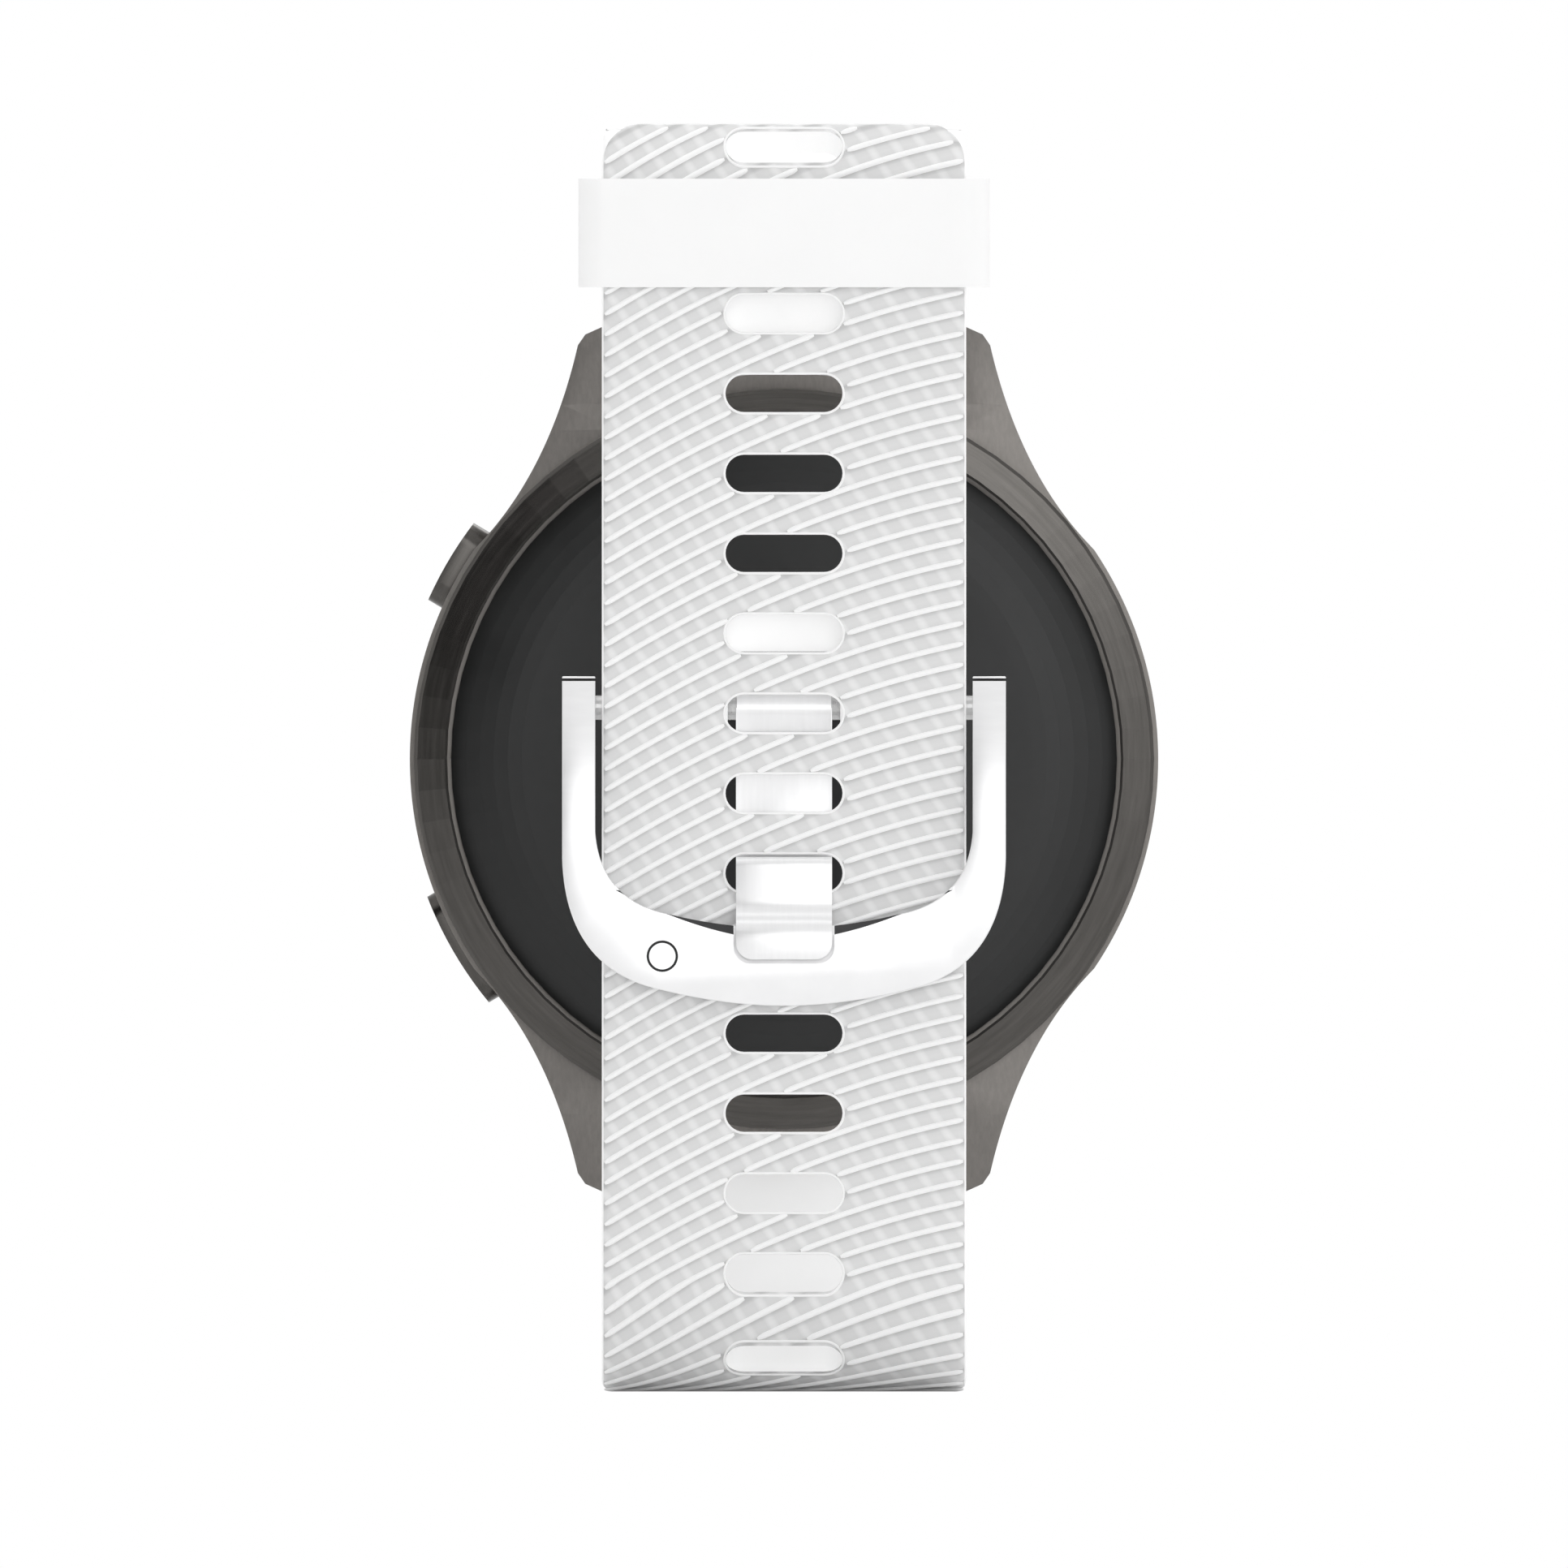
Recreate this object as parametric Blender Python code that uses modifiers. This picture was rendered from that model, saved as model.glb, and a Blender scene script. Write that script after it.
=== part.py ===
"""GPS running watch with its silicone strap done up, standing on the strap.

Frame: +Z up, towards the 12 o'clock lugs; +Y out of the display, -Y towards the buckle;
the origin is under the middle of the watch, on the surface that it stands on.
Sizes in the driving dimensions are millimetres, measured from the centre of the case.
"""

import math

import bmesh
import bpy
from mathutils import Matrix, Vector

MM = 0.001

# Driving dimensions
CASE_R = 22.6  # a 45 mm case
BORE_R = 19.2
CASE_BACK, CASE_FRONT = -4.3, 3.4  # the case shell's two faces, along Y
RING_IN, RING_OUT = 20.35, 22.35  # the metal ring round the rear cover
RING_BACK, RING_FALL = -5.75, 0.3  # its back face falls away outwards
LUG_GAP = 21.2  # between the lugs
LUG_TIP = 26.1
BAR_Z, BAR_Y = 24.1, -0.6  # the strap bars' axes
BAR_R = 0.75
STRAP_W, STRAP_T = 22.0, 2.4
ROOT_W, ROOT_END = 20.7, 27.0  # the strap is narrower between the lugs, as far as there
LOOP_HALF = 38.05  # the strap loop's bottom, below the centre of the case
FRONT_Y = -45.0  # the tail's outer face, on the buckle side
LAYER_GAP = 0.3
BEND_TAIL = 5.3  # centreline radii of the strap's bends
BEND_BUCKLE = 4.4
TOP_BEND_Z = 32.4  # where the front run starts to bend back over the top
TIP_ANGLE = math.radians(48)  # how far round that bend the tail's tip lies
SLOT_L, SLOT_H, SLOT_PITCH = 6.9, 2.15, 4.83
SLOT_ZERO_Z = 17.26  # the slot that the others are counted from
PIN_Z = 3.1  # the buckle's hinge pin
FRAME_HALF_W, ARM_W = 13.4, 2.0
FRAME_TOP, FRAME_BOTTOM = 5.0, -14.9
TONGUE_W, TONGUE_T = 5.8, 1.0
KEEPER_HALF_W, KEEPER_LOW, KEEPER_HIGH = 12.42, 28.5, 35.06
BUTTON_ANGLES = {"upper": 30.7, "middle": 0.0, "lower": -30.3}
FIT = 0.15  # the gap between pieces that seat on each other
ROUND = 64  # segments round the case

TAIL_Y = FRONT_Y + STRAP_T / 2
BUCKLE_Y = TAIL_Y + STRAP_T + LAYER_GAP
TONGUE_FRONT = -47.5
GLASS_FRONT = 5.7
CASE_Y = (-TONGUE_FRONT - GLASS_FRONT) / 2  # puts the origin under the middle
CENTRE = Vector((0, CASE_Y, LOOP_HALF)) * MM

COLOURS = {
    "gunmetal_polymer": ((0.115, 0.105, 0.098), 0.36, 0.75),
    "gunmetal_steel": ((0.105, 0.095, 0.088), 0.28, 1.0),
    "black_polymer": ((0.035, 0.036, 0.038), 0.3, 0.0),
    "dark_glass": ((0.01, 0.01, 0.012), 0.05, 0.0),
    "display_black": ((0.006, 0.006, 0.008), 0.15, 0.0),
    "silicone": ((0.82, 0.82, 0.81), 0.55, 0.0),
    "buckle_steel": ((0.86, 0.86, 0.87), 0.18, 1.0),
    "bar_steel": ((0.6, 0.6, 0.6), 0.3, 1.0),
    "seal_rubber": ((0.02, 0.02, 0.02), 0.8, 0.0),
    "circuit_board": ((0.02, 0.16, 0.08), 0.5, 0.0),
    "battery_wrap": ((0.28, 0.29, 0.31), 0.45, 0.2),
    "gold_contact": ((0.83, 0.62, 0.25), 0.25, 1.0),
    "chassis_plastic": ((0.09, 0.09, 0.095), 0.6, 0.0),
}


def make_collection(name):
    collection = bpy.data.collections.new(name)
    bpy.context.scene.collection.children.link(collection)
    return collection


def make_materials():
    made = {}
    for name, (colour, roughness, metallic) in COLOURS.items():
        material = bpy.data.materials.new(name)
        material.use_nodes = True
        shader = material.node_tree.nodes["Principled BSDF"]
        shader.inputs["Base Color"].default_value = (*colour, 1)
        shader.inputs["Roughness"].default_value = roughness
        shader.inputs["Metallic"].default_value = metallic
        made[name] = material
    return made


for old in list(bpy.data.objects):
    bpy.data.objects.remove(old, do_unlink=True)
WATCH = make_collection("gps_running_watch")
CUTTERS = make_collection("cutters")
MATERIALS = make_materials()


# Making and placing shapes

def show(obj, name, material):
    """Makes obj a named sub-part of the watch."""
    obj.name = obj.data.name = name
    obj.data.materials.clear()
    obj.data.materials.append(MATERIALS[material])
    for collection in list(obj.users_collection):
        collection.objects.unlink(obj)
    WATCH.objects.link(obj)
    if obj.type == "MESH":
        obj.data.shade_smooth()
        obj.data.set_sharp_from_angle(angle=math.radians(35))
    return obj


def as_cutter(obj):
    for collection in list(obj.users_collection):
        collection.objects.unlink(obj)
    CUTTERS.objects.link(obj)
    obj.hide_render = True
    obj.display_type = "WIRE"
    return obj


def boolean(obj, other, operation="DIFFERENCE"):
    as_cutter(other)
    modifier = obj.modifiers.new(operation.lower(), "BOOLEAN")
    modifier.operation = operation
    modifier.object = other
    return obj


def bevel(obj, width, segments=2, angle=30):
    modifier = obj.modifiers.new("edges", "BEVEL")
    modifier.width = width * MM
    modifier.segments = segments
    modifier.limit_method = "ANGLE"
    modifier.angle_limit = math.radians(angle)
    return obj


def link_mesh(mesh, matrix=None):
    obj = bpy.data.objects.new("shape", mesh)
    bpy.context.scene.collection.objects.link(obj)
    if matrix:
        obj.matrix_world = matrix
    return obj


def at(x=0.0, y=0.0, z=0.0, turn=None):
    """The matrix of a place given in millimetres from the centre of the case."""
    place = Matrix.Translation(CENTRE + Vector((x, y, z)) * MM)
    return place @ turn if turn else place


ALONG_X = Matrix.Rotation(math.pi / 2, 4, "Y")  # carries local +Z to +X
ALONG_BACK = Matrix.Rotation(math.pi / 2, 4, "X")  # carries local +Z to -Y


def cylinder(radius, length, matrix, segments=24):
    """A cylinder centred on matrix, along its local Z."""
    bm = bmesh.new()
    bmesh.ops.create_cone(
        bm,
        cap_ends=True,
        segments=segments,
        radius1=radius * MM,
        radius2=radius * MM,
        depth=length * MM,
    )
    mesh = bpy.data.meshes.new("cylinder")
    bm.to_mesh(mesh)
    bm.free()
    return link_mesh(mesh, matrix)


def block(size, matrix):
    bm = bmesh.new()
    bmesh.ops.create_cube(bm, size=1)
    bmesh.ops.scale(bm, vec=Vector(size) * MM, verts=bm.verts)
    mesh = bpy.data.meshes.new("block")
    bm.to_mesh(mesh)
    bm.free()
    return link_mesh(mesh, matrix)


def plate(outlines, thickness, matrix):
    """A flat outline in the local XY plane, with any holes after it, thickened along local Z."""
    curve = bpy.data.curves.new("outline", "CURVE")
    curve.dimensions = "2D"
    curve.fill_mode = "BOTH"
    curve.extrude = thickness * MM / 2
    for points in outlines:
        spline = curve.splines.new("POLY")
        spline.points.add(len(points) - 1)
        for point, (u, v) in zip(spline.points, points):
            point.co = (u * MM, v * MM, 0, 1)
        spline.use_cyclic_u = True
    guide = bpy.data.objects.new("outline", curve)
    bpy.context.scene.collection.objects.link(guide)
    graph = bpy.context.evaluated_depsgraph_get()
    mesh = bpy.data.meshes.new_from_object(guide.evaluated_get(graph))
    bpy.data.objects.remove(guide)
    bm = bmesh.new()
    bm.from_mesh(mesh)
    bmesh.ops.remove_doubles(bm, verts=bm.verts, dist=1e-7)
    bmesh.ops.recalc_face_normals(bm, faces=bm.faces)
    bm.to_mesh(mesh)
    bm.free()
    return link_mesh(mesh, matrix)


def side_plate(points, width, x=0.0):
    """An outline of (y, z) points, extruded along X."""
    turn = Matrix(((0, 0, 1, 0), (1, 0, 0, 0), (0, 1, 0, 0), (0, 0, 0, 1)))
    return plate([points], width, at(x) @ turn)


def front_plate(outlines, back, front):
    """Outlines of (x, z) points, extruded from y = back to y = front."""
    turn = Matrix(((1, 0, 0, 0), (0, 0, -1, 0), (0, 1, 0, 0), (0, 0, 0, 1)))
    return plate(outlines, front - back, at(0, (back + front) / 2) @ turn)


def turned(profile, steps=ROUND, closed=True):
    """A profile of (radius, y) points turned about the case's axis, through X = Z = 0.

    The points run from the front face to the back face on the outer side. An open profile
    starts and ends on the axis.
    """
    bm = bmesh.new()
    rows = [bm.verts.new((r * MM, 0, y * MM)) for r, y in profile]
    for a, b in zip(rows, rows[1:]):
        bm.edges.new((a, b))
    if closed:
        bm.edges.new((rows[-1], rows[0]))
    mesh = bpy.data.meshes.new("turned")
    bm.to_mesh(mesh)
    bm.free()
    obj = link_mesh(mesh, at(0, 0, 0, Matrix.Rotation(-math.pi / 2, 4, "X")))
    screw = obj.modifiers.new("turn", "SCREW")
    screw.steps = screw.render_steps = steps
    screw.use_merge_vertices = True
    screw.merge_threshold = 1e-6
    return obj


def arc(centre, radius, start, end, steps):
    """Points on an arc, angles in degrees, both ends included."""
    angles = [math.radians(start + (end - start) * i / steps) for i in range(steps + 1)]
    return [
        (centre[0] + radius * math.cos(a), centre[1] + radius * math.sin(a))
        for a in angles
    ]


def bezier(p0, p1, p2, steps):
    """Points on a quadratic curve, both ends included."""
    found = []
    for i in range(steps + 1):
        t = i / steps
        found.append(
            tuple(
                (1 - t) ** 2 * a + 2 * t * (1 - t) * b + t * t * c
                for a, b, c in zip(p0, p1, p2)
            )
        )
    return found


def rounded_rectangle(half_w, half_h, radius, steps=4, centre=(0, 0)):
    points = []
    for sx, sy, start in ((1, 1, 0), (-1, 1, 90), (-1, -1, 180), (1, -1, 270)):
        corner = (
            centre[0] + sx * (half_w - radius),
            centre[1] + sy * (half_h - radius),
        )
        points += arc(corner, radius, start, start + 90, steps)
    return points


def mirrored(points):
    """A half outline at x > 0, then the same at x < 0, back to where it began."""
    return points + [(-x, z) for x, z in reversed(points)]


# Case

def lug_half_outline():
    """The case's outline at x > 0 from the foot of the lower lugs' gap to the upper one."""
    gap = LUG_GAP / 2
    inner = [(gap, math.sqrt(CASE_R**2 - gap**2)), (gap, LUG_TIP)]
    tip = [(gap + 0.4, LUG_TIP), (gap + 1.4, LUG_TIP - 0.45)]
    flank = bezier((gap + 1.85, LUG_TIP - 1.1), (14.2, 17.4), (18.4, 13.0), 10)
    edge = inner + tip + flank
    lower = [(x, -z) for x, z in edge]
    side = arc((0, 0), CASE_R, -34, 34, 20)
    return lower + side + list(reversed(edge))


def case_outline():
    """The case with its four lugs, and the round wall between each pair."""
    gap_angle = math.degrees(math.acos(LUG_GAP / 2 / CASE_R))
    wall = arc((0, 0), CASE_R, gap_angle, 180 - gap_angle, 12)[1:-1]
    right = lug_half_outline()
    left = [(-x, z) for x, z in reversed(right)]
    foot = [(x, -z) for x, z in reversed(wall)]
    return right + wall + left + foot


LIP_R, LIP_FRONT = 23.3, -2.2


def lip_outline(middle):
    """The low lip that stands in front of the strap's end, between two lugs."""
    half = math.degrees(math.asin((LUG_GAP / 2 - 0.2) / LIP_R))
    outer = arc((0, 0), LIP_R, middle - half, middle + half, 16)
    return outer + arc((0, 0), LIP_R - 1.8, middle + half, middle - half, 16)


def button_matrix(angle, radius):
    """A place on the case's side at x < 0: local Z points out, local Y along the display's axis."""
    a = math.radians(180 - angle)
    out = Vector((math.cos(a), 0, math.sin(a)))
    along = Vector((0, 1, 0))
    across = along.cross(out)
    turn = Matrix((across, along, out)).transposed().to_4x4()
    spot = out * radius
    return at(spot.x, -0.4, spot.z, turn)


BUTTONS = {  # tangential length, width, how far the cap stands out of the case
    "upper": (5.4, 2.8, 0.95),
    "middle": (7.0, 2.2, 0.0),
    "lower": (7.4, 2.8, 0.5),
}
BUTTON_TRAVEL = 0.4


def make_case_shell():
    shell = front_plate([case_outline()], CASE_BACK, CASE_FRONT)
    front = bezier((CASE_FRONT + 0.5, 16), (CASE_FRONT - 0.4, 21.5), (0.9, LUG_TIP + 1), 6)
    back = bezier((-2.9, LUG_TIP + 1), (CASE_BACK, 23.5), (CASE_BACK - 0.2, 19), 6)
    upper = front + back
    lower = [(y, -z) for y, z in reversed(upper)]
    boolean(shell, side_plate(upper + lower, 60), "INTERSECT")
    boolean(shell, cylinder(BORE_R, 20, at(turn=ALONG_BACK), ROUND))
    bevel(shell, 0.3)
    for middle in (90, 270):
        boolean(shell, front_plate([lip_outline(middle)], CASE_BACK + 0.1, LIP_FRONT), "UNION")
    for name, angle in BUTTON_ANGLES.items():
        length, width, proud = BUTTONS[name]
        pocket = rounded_rectangle(length / 2 + 0.2, width / 2 + 0.2, width / 2, 4)
        floor = CASE_R + proud - 1.6 - BUTTON_TRAVEL - 0.25
        boolean(shell, plate([pocket], 4, button_matrix(angle, floor + 2)))
        boolean(shell, cylinder(1.0, 8, button_matrix(angle, 20), 16))
    for z in (-BAR_Z, BAR_Z):
        boolean(shell, cylinder(0.5, LUG_GAP + 2.2, at(0, BAR_Y, z, ALONG_X), 16))
    return show(shell, "case_shell", "gunmetal_polymer")


def make_buttons():
    for name, angle in BUTTON_ANGLES.items():
        length, width, proud = BUTTONS[name]
        top = CASE_R + proud
        outline = rounded_rectangle(length / 2, width / 2, width / 2 - 0.05, 4)
        cap = plate([outline], 1.8, button_matrix(angle, top - 0.7))
        boolean(cap, cylinder(top, 12, at(turn=ALONG_BACK), 2 * ROUND), "INTERSECT")
        bevel(cap, 0.25)
        stem_end = 19.15
        length = top - 1.0 - stem_end
        stem = cylinder(0.85, length, button_matrix(angle, stem_end + length / 2), 16)
        boolean(cap, stem, "UNION")
        show(cap, f"{name}_button", "gunmetal_steel")
        switch = block((2.6, 2.2, 1.2), button_matrix(angle, 18.05))
        show(switch, f"{name}_button_switch", "bar_steel")


def make_rings_and_glass():
    rear = [
        (RING_OUT, CASE_BACK - FIT),
        (RING_OUT, RING_BACK + RING_FALL + 0.2),
        (RING_OUT - 0.2, RING_BACK + RING_FALL),
        (RING_IN + 0.15, RING_BACK),
        (RING_IN, RING_BACK + 0.15),
        (RING_IN, CASE_BACK - FIT),
    ]
    show(turned(rear, 72), "rear_ring", "gunmetal_steel")
    front = [
        (RING_IN + 0.2, CASE_FRONT + FIT),
        (RING_IN + 0.2, 5.2),
        (RING_IN + 0.35, 5.5),
        (RING_OUT - 0.9, 5.5),
        (RING_OUT, 4.6),
        (RING_OUT, CASE_FRONT + FIT),
    ]
    show(turned(front, 72), "front_bezel", "gunmetal_steel")
    glass = [
        (0, GLASS_FRONT),
        (19.2, GLASS_FRONT),
        (20.1, 5.45),
        (20.5, 5.0),
        (20.5, 4.15),
        (0, 4.15),
    ]
    show(turned(glass, closed=False), "cover_glass", "dark_glass")
    display = [(0, 3.95), (17.2, 3.95), (17.2, 2.5), (0, 2.5)]
    show(turned(display, closed=False), "display_module", "display_black")
    gasket = [(20.4, 3.95), (20.4, 3.55), (19.5, 3.55), (19.5, 3.95)]
    show(turned(gasket), "front_gasket", "seal_rubber")


SCREW_X, SCREW_Z = 7.2, 16.0
PORT_Z, PORT_HALF_W, PORT_HALF_H = -12.6, 4.2, 2.1
SENSOR_R = 9.4


def rear_cover_profile():
    """The cover's back face falls away softly towards the ring."""
    rim, flat, steps = RING_IN - 0.25, 15.0, 6
    points = [(0, CASE_BACK - FIT), (rim, CASE_BACK - FIT)]
    for i in range(steps, -1, -1):
        t = i / steps
        points.append((flat + t * (rim - flat), -5.6 + 0.9 * t**2.2))
    return points + [(0, -5.6)]


def make_rear_cover():
    cover = turned(rear_cover_profile(), 72, closed=False)
    boolean(cover, cylinder(SENSOR_R + 0.15, 8, at(0, -5, 0, ALONG_BACK), 48))
    port = rounded_rectangle(PORT_HALF_W + FIT, PORT_HALF_H + FIT, 0.7, 3, (0, PORT_Z))
    boolean(cover, front_plate([port], -8, -2))
    for sx in (-1, 1):
        for sz in (-1, 1):
            x, z = sx * SCREW_X, sz * SCREW_Z
            boolean(cover, cylinder(0.6, 8, at(x, -5, z, ALONG_BACK), 12))
            boolean(cover, cylinder(1.05, 2, at(x, -6.0, z, ALONG_BACK), 16))
    show(cover, "rear_cover", "black_polymer")
    seal = [(18.95, -3.75), (18.95, -4.15), (18.3, -4.15), (18.3, -3.75)]
    show(turned(seal), "rear_gasket", "seal_rubber")


def make_rear_screws():
    names = {(-1, 1): "1", (1, 1): "2", (1, -1): "3", (-1, -1): "4"}
    for (sx, sz), number in names.items():
        x, z = sx * SCREW_X, sz * SCREW_Z
        head = cylinder(0.9, 0.35, at(x, -5.25, z, ALONG_BACK), 16)
        shank = cylinder(0.45, 3.4, at(x, -3.6, z, ALONG_BACK), 10)
        boolean(head, shank, "UNION")
        boolean(head, block((1.2, 0.25, 0.3), at(x, -5.45, z, ALONG_BACK)))
        show(head, f"rear_screw_{number}", "bar_steel")


def make_sensor():
    window = [
        (0, -4.75),
        (SENSOR_R, -4.75),
        (SENSOR_R, -5.9),
        (SENSOR_R - 0.6, -6.3),
        (SENSOR_R - 2.6, -6.45),
        (0, -6.45),
    ]
    show(turned(window, 48, closed=False), "sensor_window", "dark_glass")
    board = [(0, -3.5), (8.6, -3.5), (8.6, -4.2), (0, -4.2)]
    module = turned(board, 32, closed=False)
    for i in range(4):
        a = math.radians(45 + 90 * i)
        place = at(5.2 * math.cos(a), -4.35, 5.2 * math.sin(a))
        boolean(module, block((2.0, 0.5, 2.0), place), "UNION")
    boolean(module, block((2.4, 0.5, 2.4), at(0, -4.35, 0)), "UNION")
    show(module, "heart_rate_sensor_module", "circuit_board")


def make_charging_port():
    tray = rounded_rectangle(PORT_HALF_W, PORT_HALF_H, 0.6, 3, (0, PORT_Z))
    well = rounded_rectangle(PORT_HALF_W - 0.7, PORT_HALF_H - 0.7, 0.4, 3, (0, PORT_Z))
    port = front_plate([tray], -5.5, -4.3)
    boolean(port, front_plate([well], -7, -4.75))
    pins = [-2.4, -0.8, 0.8, 2.4]
    for x in pins:
        boolean(port, cylinder(0.42, 4, at(x, -4.5, PORT_Z, ALONG_BACK), 12))
    show(port, "charging_port", "black_polymer")
    for i, x in enumerate(pins):
        pin = cylinder(0.34, 1.0, at(x, -4.65, PORT_Z, ALONG_BACK), 12)
        show(pin, f"charging_contact_{i + 1}", "gold_contact")


FRAME_OUT, FRAME_IN = 18.6, 16.8


def make_inside():
    ring = [
        (FRAME_OUT, 2.2),
        (FRAME_OUT, -3.3),
        (FRAME_IN, -3.3),
        (FRAME_IN, 2.2),
    ]
    chassis = turned(ring, 48)
    for angle in BUTTON_ANGLES.values():
        boolean(chassis, block((3.0, 2.6, 3.4), button_matrix(angle, 18.9)))
    for sx in (-1, 1):
        for sz in (-1, 1):
            x, z = sx * SCREW_X, sz * SCREW_Z
            boss = cylinder(1.1, 3.6, at(x, -1.5, z, ALONG_BACK), 16)
            boolean(chassis, boss, "UNION")
            boolean(chassis, cylinder(0.55, 2.6, at(x, -2.2, z, ALONG_BACK), 10))
    show(chassis, "inner_chassis", "chassis_plastic")
    cell = rounded_rectangle(10.0, 10.0, 1.5, 3, (3.1, 0))
    show(front_plate([cell], -3.0, 0.4), "battery", "battery_wrap")
    board = rounded_rectangle(15.0, 6.0, 2.0, 3)
    pcb = front_plate([board], 0.7, 1.5)
    boolean(pcb, block((5, 0.8, 5), at(-4, 1.8, 0)), "UNION")
    boolean(pcb, block((4, 0.7, 3), at(6, 1.75, -2)), "UNION")
    boolean(pcb, block((2.5, 0.6, 2.5), at(6, 1.7, 3)), "UNION")
    show(pcb, "main_board", "circuit_board")
    antenna = [(18.9, 3.2), (18.9, 2.6), (17.7, 2.6), (17.7, 3.2)]
    show(turned(antenna, 48), "gps_antenna_ring", "gold_contact")
    speaker = block((4.4, 2.6, 5.6), at(-9.9, -1.5, -7.6))
    show(bevel(speaker, 0.3, 1), "speaker", "bar_steel")


MOTOR_X, MOTOR_Y, MOTOR_R = -11.6, -1.3, 3.4


def make_vibration_motor():
    """A coin motor: an open can, and the half-round weight that spins in it."""
    can = cylinder(MOTOR_R, 2.8, at(MOTOR_X, MOTOR_Y, 0, ALONG_BACK), 32)
    boolean(
        can, cylinder(MOTOR_R - 0.35, 2.8, at(MOTOR_X, MOTOR_Y - 0.4, 0, ALONG_BACK), 32)
    )
    spindle = cylinder(0.4, 2.2, at(MOTOR_X, MOTOR_Y + 0.1, 0, ALONG_BACK), 12)
    boolean(can, spindle, "UNION")
    show(can, "vibration_motor_can", "bar_steel")
    half = [(MOTOR_X + x, z) for x, z in arc((0, 0), MOTOR_R - 0.6, 180, 360, 12)]
    weight = front_plate([half], MOTOR_Y - 0.8, MOTOR_Y + 0.6)
    hub = cylinder(1.0, 1.4, at(MOTOR_X, MOTOR_Y - 0.1, 0, ALONG_BACK), 16)
    boolean(weight, hub, "UNION")
    boolean(weight, cylinder(0.5, 4, at(MOTOR_X, MOTOR_Y, 0, ALONG_BACK), 16))
    show(weight, "vibration_motor_weight", "bar_steel")


# Strap

def tail_path():
    """(y, z, direction) along the tail half's centreline, from its bar to its tip."""
    low = -LOOP_HALF + STRAP_T / 2
    r = BEND_TAIL
    path = [(BAR_Y, -BAR_Z, 270.0), (BAR_Y, -BAR_Z - 3, 270.0)]
    path += bend((BAR_Y - r, low + r), r, 360, 270, 8)
    path += bend((TAIL_Y + r, low + r), r, 270, 180, 8)
    tip_r = BEND_BUCKLE + STRAP_T + LAYER_GAP
    tip = math.degrees(TIP_ANGLE)
    path += bend((TAIL_Y + tip_r, TOP_BEND_Z), tip_r, 180, 180 - tip, 6)
    return path


def buckle_path():
    """The same for the buckle half, from its bar to the buckle's hinge pin."""
    r = BEND_BUCKLE
    path = [(BAR_Y, BAR_Z, 90.0), (BAR_Y, BAR_Z + 3, 90.0)]
    path += bend((BAR_Y - r, TOP_BEND_Z), r, 0, 90, 8)
    path += bend((BUCKLE_Y + r, TOP_BEND_Z), r, 90, 180, 8)
    path.append((BUCKLE_Y, PIN_Z + 3, 270.0))
    path.append((BUCKLE_Y, PIN_Z, 270.0))
    return path


def bend(centre, radius, start, end, steps):
    """A bend of a path, with the direction of travel in degrees at each point."""
    turn = 90 if end > start else -90
    found = []
    for i, point in enumerate(arc(centre, radius, start, end, steps)):
        found.append((*point, start + (end - start) * i / steps + turn))
    return found


def band_outline(path, half, first_end, last_end):
    """The (y, z) outline of a band of that path: one side out, its end, the other side back.

    half(i) is half the thickness at point i, and each end is a list of points.
    """
    left, right = [], []
    for i, (y, z, direction) in enumerate(path):
        a = math.radians(direction + 90)
        h = half(i)
        left.append((y + h * math.cos(a), z + h * math.sin(a)))
        right.append((y - h * math.cos(a), z - h * math.sin(a)))
    return left + last_end + list(reversed(right)) + first_end


BARREL_R, PIN_BARREL_R = STRAP_T / 2, 1.45


def slot_places():
    """(y, z, direction) of each slot of the tail, from the tip down."""
    tip_r = BEND_BUCKLE + STRAP_T + LAYER_GAP
    low_z = -LOOP_HALF + STRAP_T / 2 + BEND_TAIL
    places = []
    for k in range(4, -12, -1):
        z = SLOT_ZERO_Z + SLOT_PITCH * k
        if z > TOP_BEND_Z:
            a = 180 - math.degrees((z - TOP_BEND_Z) / tip_r)
            centre, r = (TAIL_Y + tip_r, TOP_BEND_Z), tip_r
        elif z < low_z:
            a = 180 + math.degrees((low_z - z) / BEND_TAIL)
            centre, r = (TAIL_Y + BEND_TAIL, low_z), BEND_TAIL
        else:
            places.append((TAIL_Y, z, 180.0))
            continue
        places.append((*arc(centre, r, a, a, 1)[0], a))
    return places


def slot_cutter(y, z, facing):
    """A rounded slot through the strap, facing that way in the Y-Z plane, in degrees."""
    outline = rounded_rectangle(SLOT_L / 2, SLOT_H / 2, SLOT_H / 2 - 0.01, 4)
    lean = Matrix.Rotation(math.radians(facing - 180), 4, "X")
    return plate([outline], STRAP_T + 1.2, at(0, y, z, lean @ ALONG_BACK))


def narrow_root(strap, sign):
    """Steps the strap's end in on each side, where it lies between the lugs."""
    for side in (-1, 1):
        x = side * (ROOT_W / 2 + 1)
        boolean(strap, block((2, 8, 8), at(x, BAR_Y, sign * (ROOT_END - 4))))


def release_window(strap, sign):
    """The opening in the strap's end for the quick-release lever, on the wrist side."""
    z = sign * BAR_Z
    boolean(strap, block((3.4, 3.0, 1.5), at(-6.9, BAR_Y - 1.5, z)))


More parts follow.
